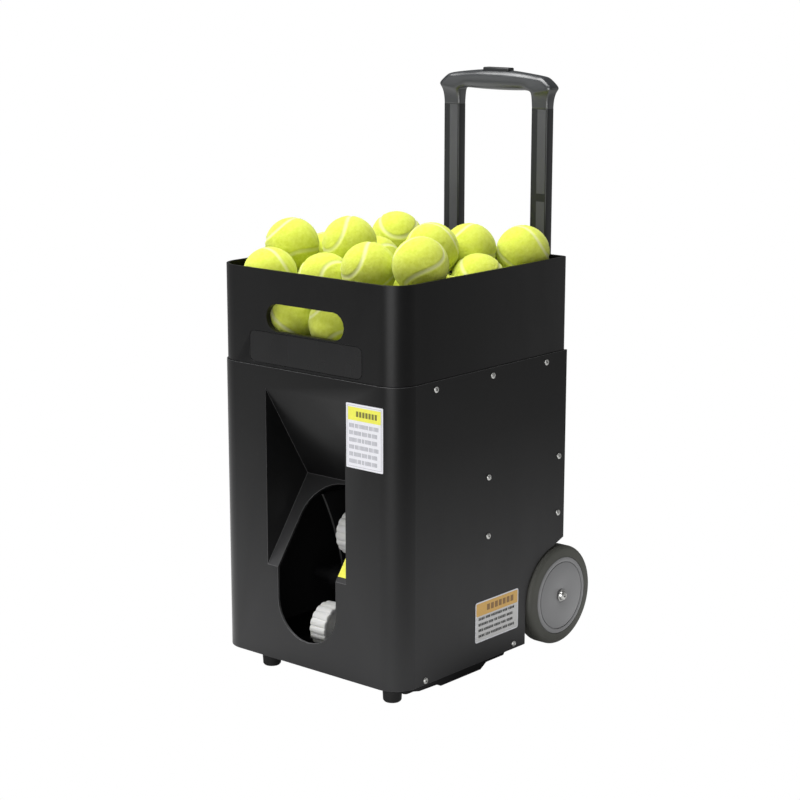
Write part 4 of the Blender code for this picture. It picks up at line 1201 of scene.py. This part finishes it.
def white_floor():
    """A white floor: plain to the camera, and for the machine a pool of light round where it stands, with a
    painted shadow right under it.
    """
    made = bpy.data.materials.new("floor_white")
    made.use_nodes = True
    nodes, link = made.node_tree.nodes, made.node_tree.links.new
    nodes.clear()
    place = nodes.new("ShaderNodeNewGeometry").outputs["Position"]
    shade = nodes.new("ShaderNodeVectorMath")
    shade.operation = "LENGTH"
    link(place, shade.inputs[0])
    pool = nodes.new("ShaderNodeVectorMath")
    pool.operation = "DISTANCE"
    pool.inputs[1].default_value = POOL_CENTRE
    link(place, pool.inputs[0])
    # Painted shadow: the floor's glow is dimmed under the machine
    under = spread(nodes, link, shade.outputs["Value"], 0.08, 1.0, 0.16, 0.27)
    around = spread(nodes, link, pool.outputs["Value"], POOL_LIGHT, FAR_LIGHT, 0.50, 2.0)
    path = nodes.new("ShaderNodeLightPath")
    seen = nodes.new("ShaderNodeMix")
    link(path.outputs["Is Camera Ray"], seen.inputs["Factor"])
    link(product(nodes, link, under, around), seen.inputs["A"])
    seen.inputs["B"].default_value = 1.0
    glow = nodes.new("ShaderNodeEmission")
    link(seen.outputs["Result"], glow.inputs["Strength"])
    link(glow.outputs["Emission"], nodes.new("ShaderNodeOutputMaterial").inputs["Surface"])
    work = bmesh.new()
    bmesh.ops.create_grid(work, x_segments=1, y_segments=1, size=12.0)
    floor = bpy.data.objects.new("floor", mesh_of("floor", work))
    floor.data.materials.append(made)
    SCENE.collection.objects.link(floor)


def surround():
    """A white backdrop that gives little light of its own."""
    world = bpy.data.worlds.new("studio")
    world.use_nodes = True
    nodes, link = world.node_tree.nodes, world.node_tree.links.new
    backdrop = nodes["Background"]
    backdrop.inputs["Color"].default_value = (1, 1, 1, 1)
    path = nodes.new("ShaderNodeLightPath")
    strength = spread(nodes, link, path.outputs["Is Camera Ray"], AIR_LIGHT, 1.0, 0.0, 1.0)
    link(strength, backdrop.inputs["Strength"])
    SCENE.world = world


def studio():
    """The floor, the surround and the soft lights."""
    white_floor()
    surround()
    target = (0, 0, 0.25)
    area_light("top", (-0.35, -0.55, 2.2), (0, 0, 0.45), (1.6, 1.6), 7.7)
    area_light("front_left", round_about(-42, 2.4, 1.0), target, (1.6, 1.2), 0.85)
    area_light("front", round_about(36, 2.3, 0.8), target, (1.0, 1.6), 1.4)
    area_light("back_right", round_about(139, 2.4, 0.9), target, (1.7, 1.2), 0.36)
    strip = area_light("corner_strip", round_about(19, 2.2, 0.5), target, (1.2, 1.9), 5.2)
    strip.visible_diffuse = False


def camera():
    """The camera, aimed by its angles, with a small shift for the framing."""
    data = bpy.data.cameras.new("camera")
    data.lens = CAMERA_LENS
    data.shift_x, data.shift_y = CAMERA_SHIFT
    viewer = bpy.data.objects.new("camera", data)
    viewer.location = at(*CAMERA_PLACE)
    viewer.rotation_euler = (math.radians(90 - CAMERA_ELEVATION), 0, math.radians(CAMERA_AZIMUTH))
    SCENE.collection.objects.link(viewer)
    SCENE.camera = viewer
    SCENE.view_settings.view_transform = "Standard"


# All of it


def build():
    """Makes every piece."""
    camera()
    studio()
    keep_nodes()
    casing()
    casing_screws()
    for side in ("left", "right"):
        tyre(side)
        hub(side)
    axle()
    for name in ("upper", "lower"):
        throwing_wheel(name)
    grip()
    handle_strips()
    corner_skids()
    blank_plate()
    vent_screen()
    hand_slot_collar()
    painted_lit_edge_strip("guide_plate")
    front_label()
    side_label()
    port_label()
    controls()
    balls()


build()
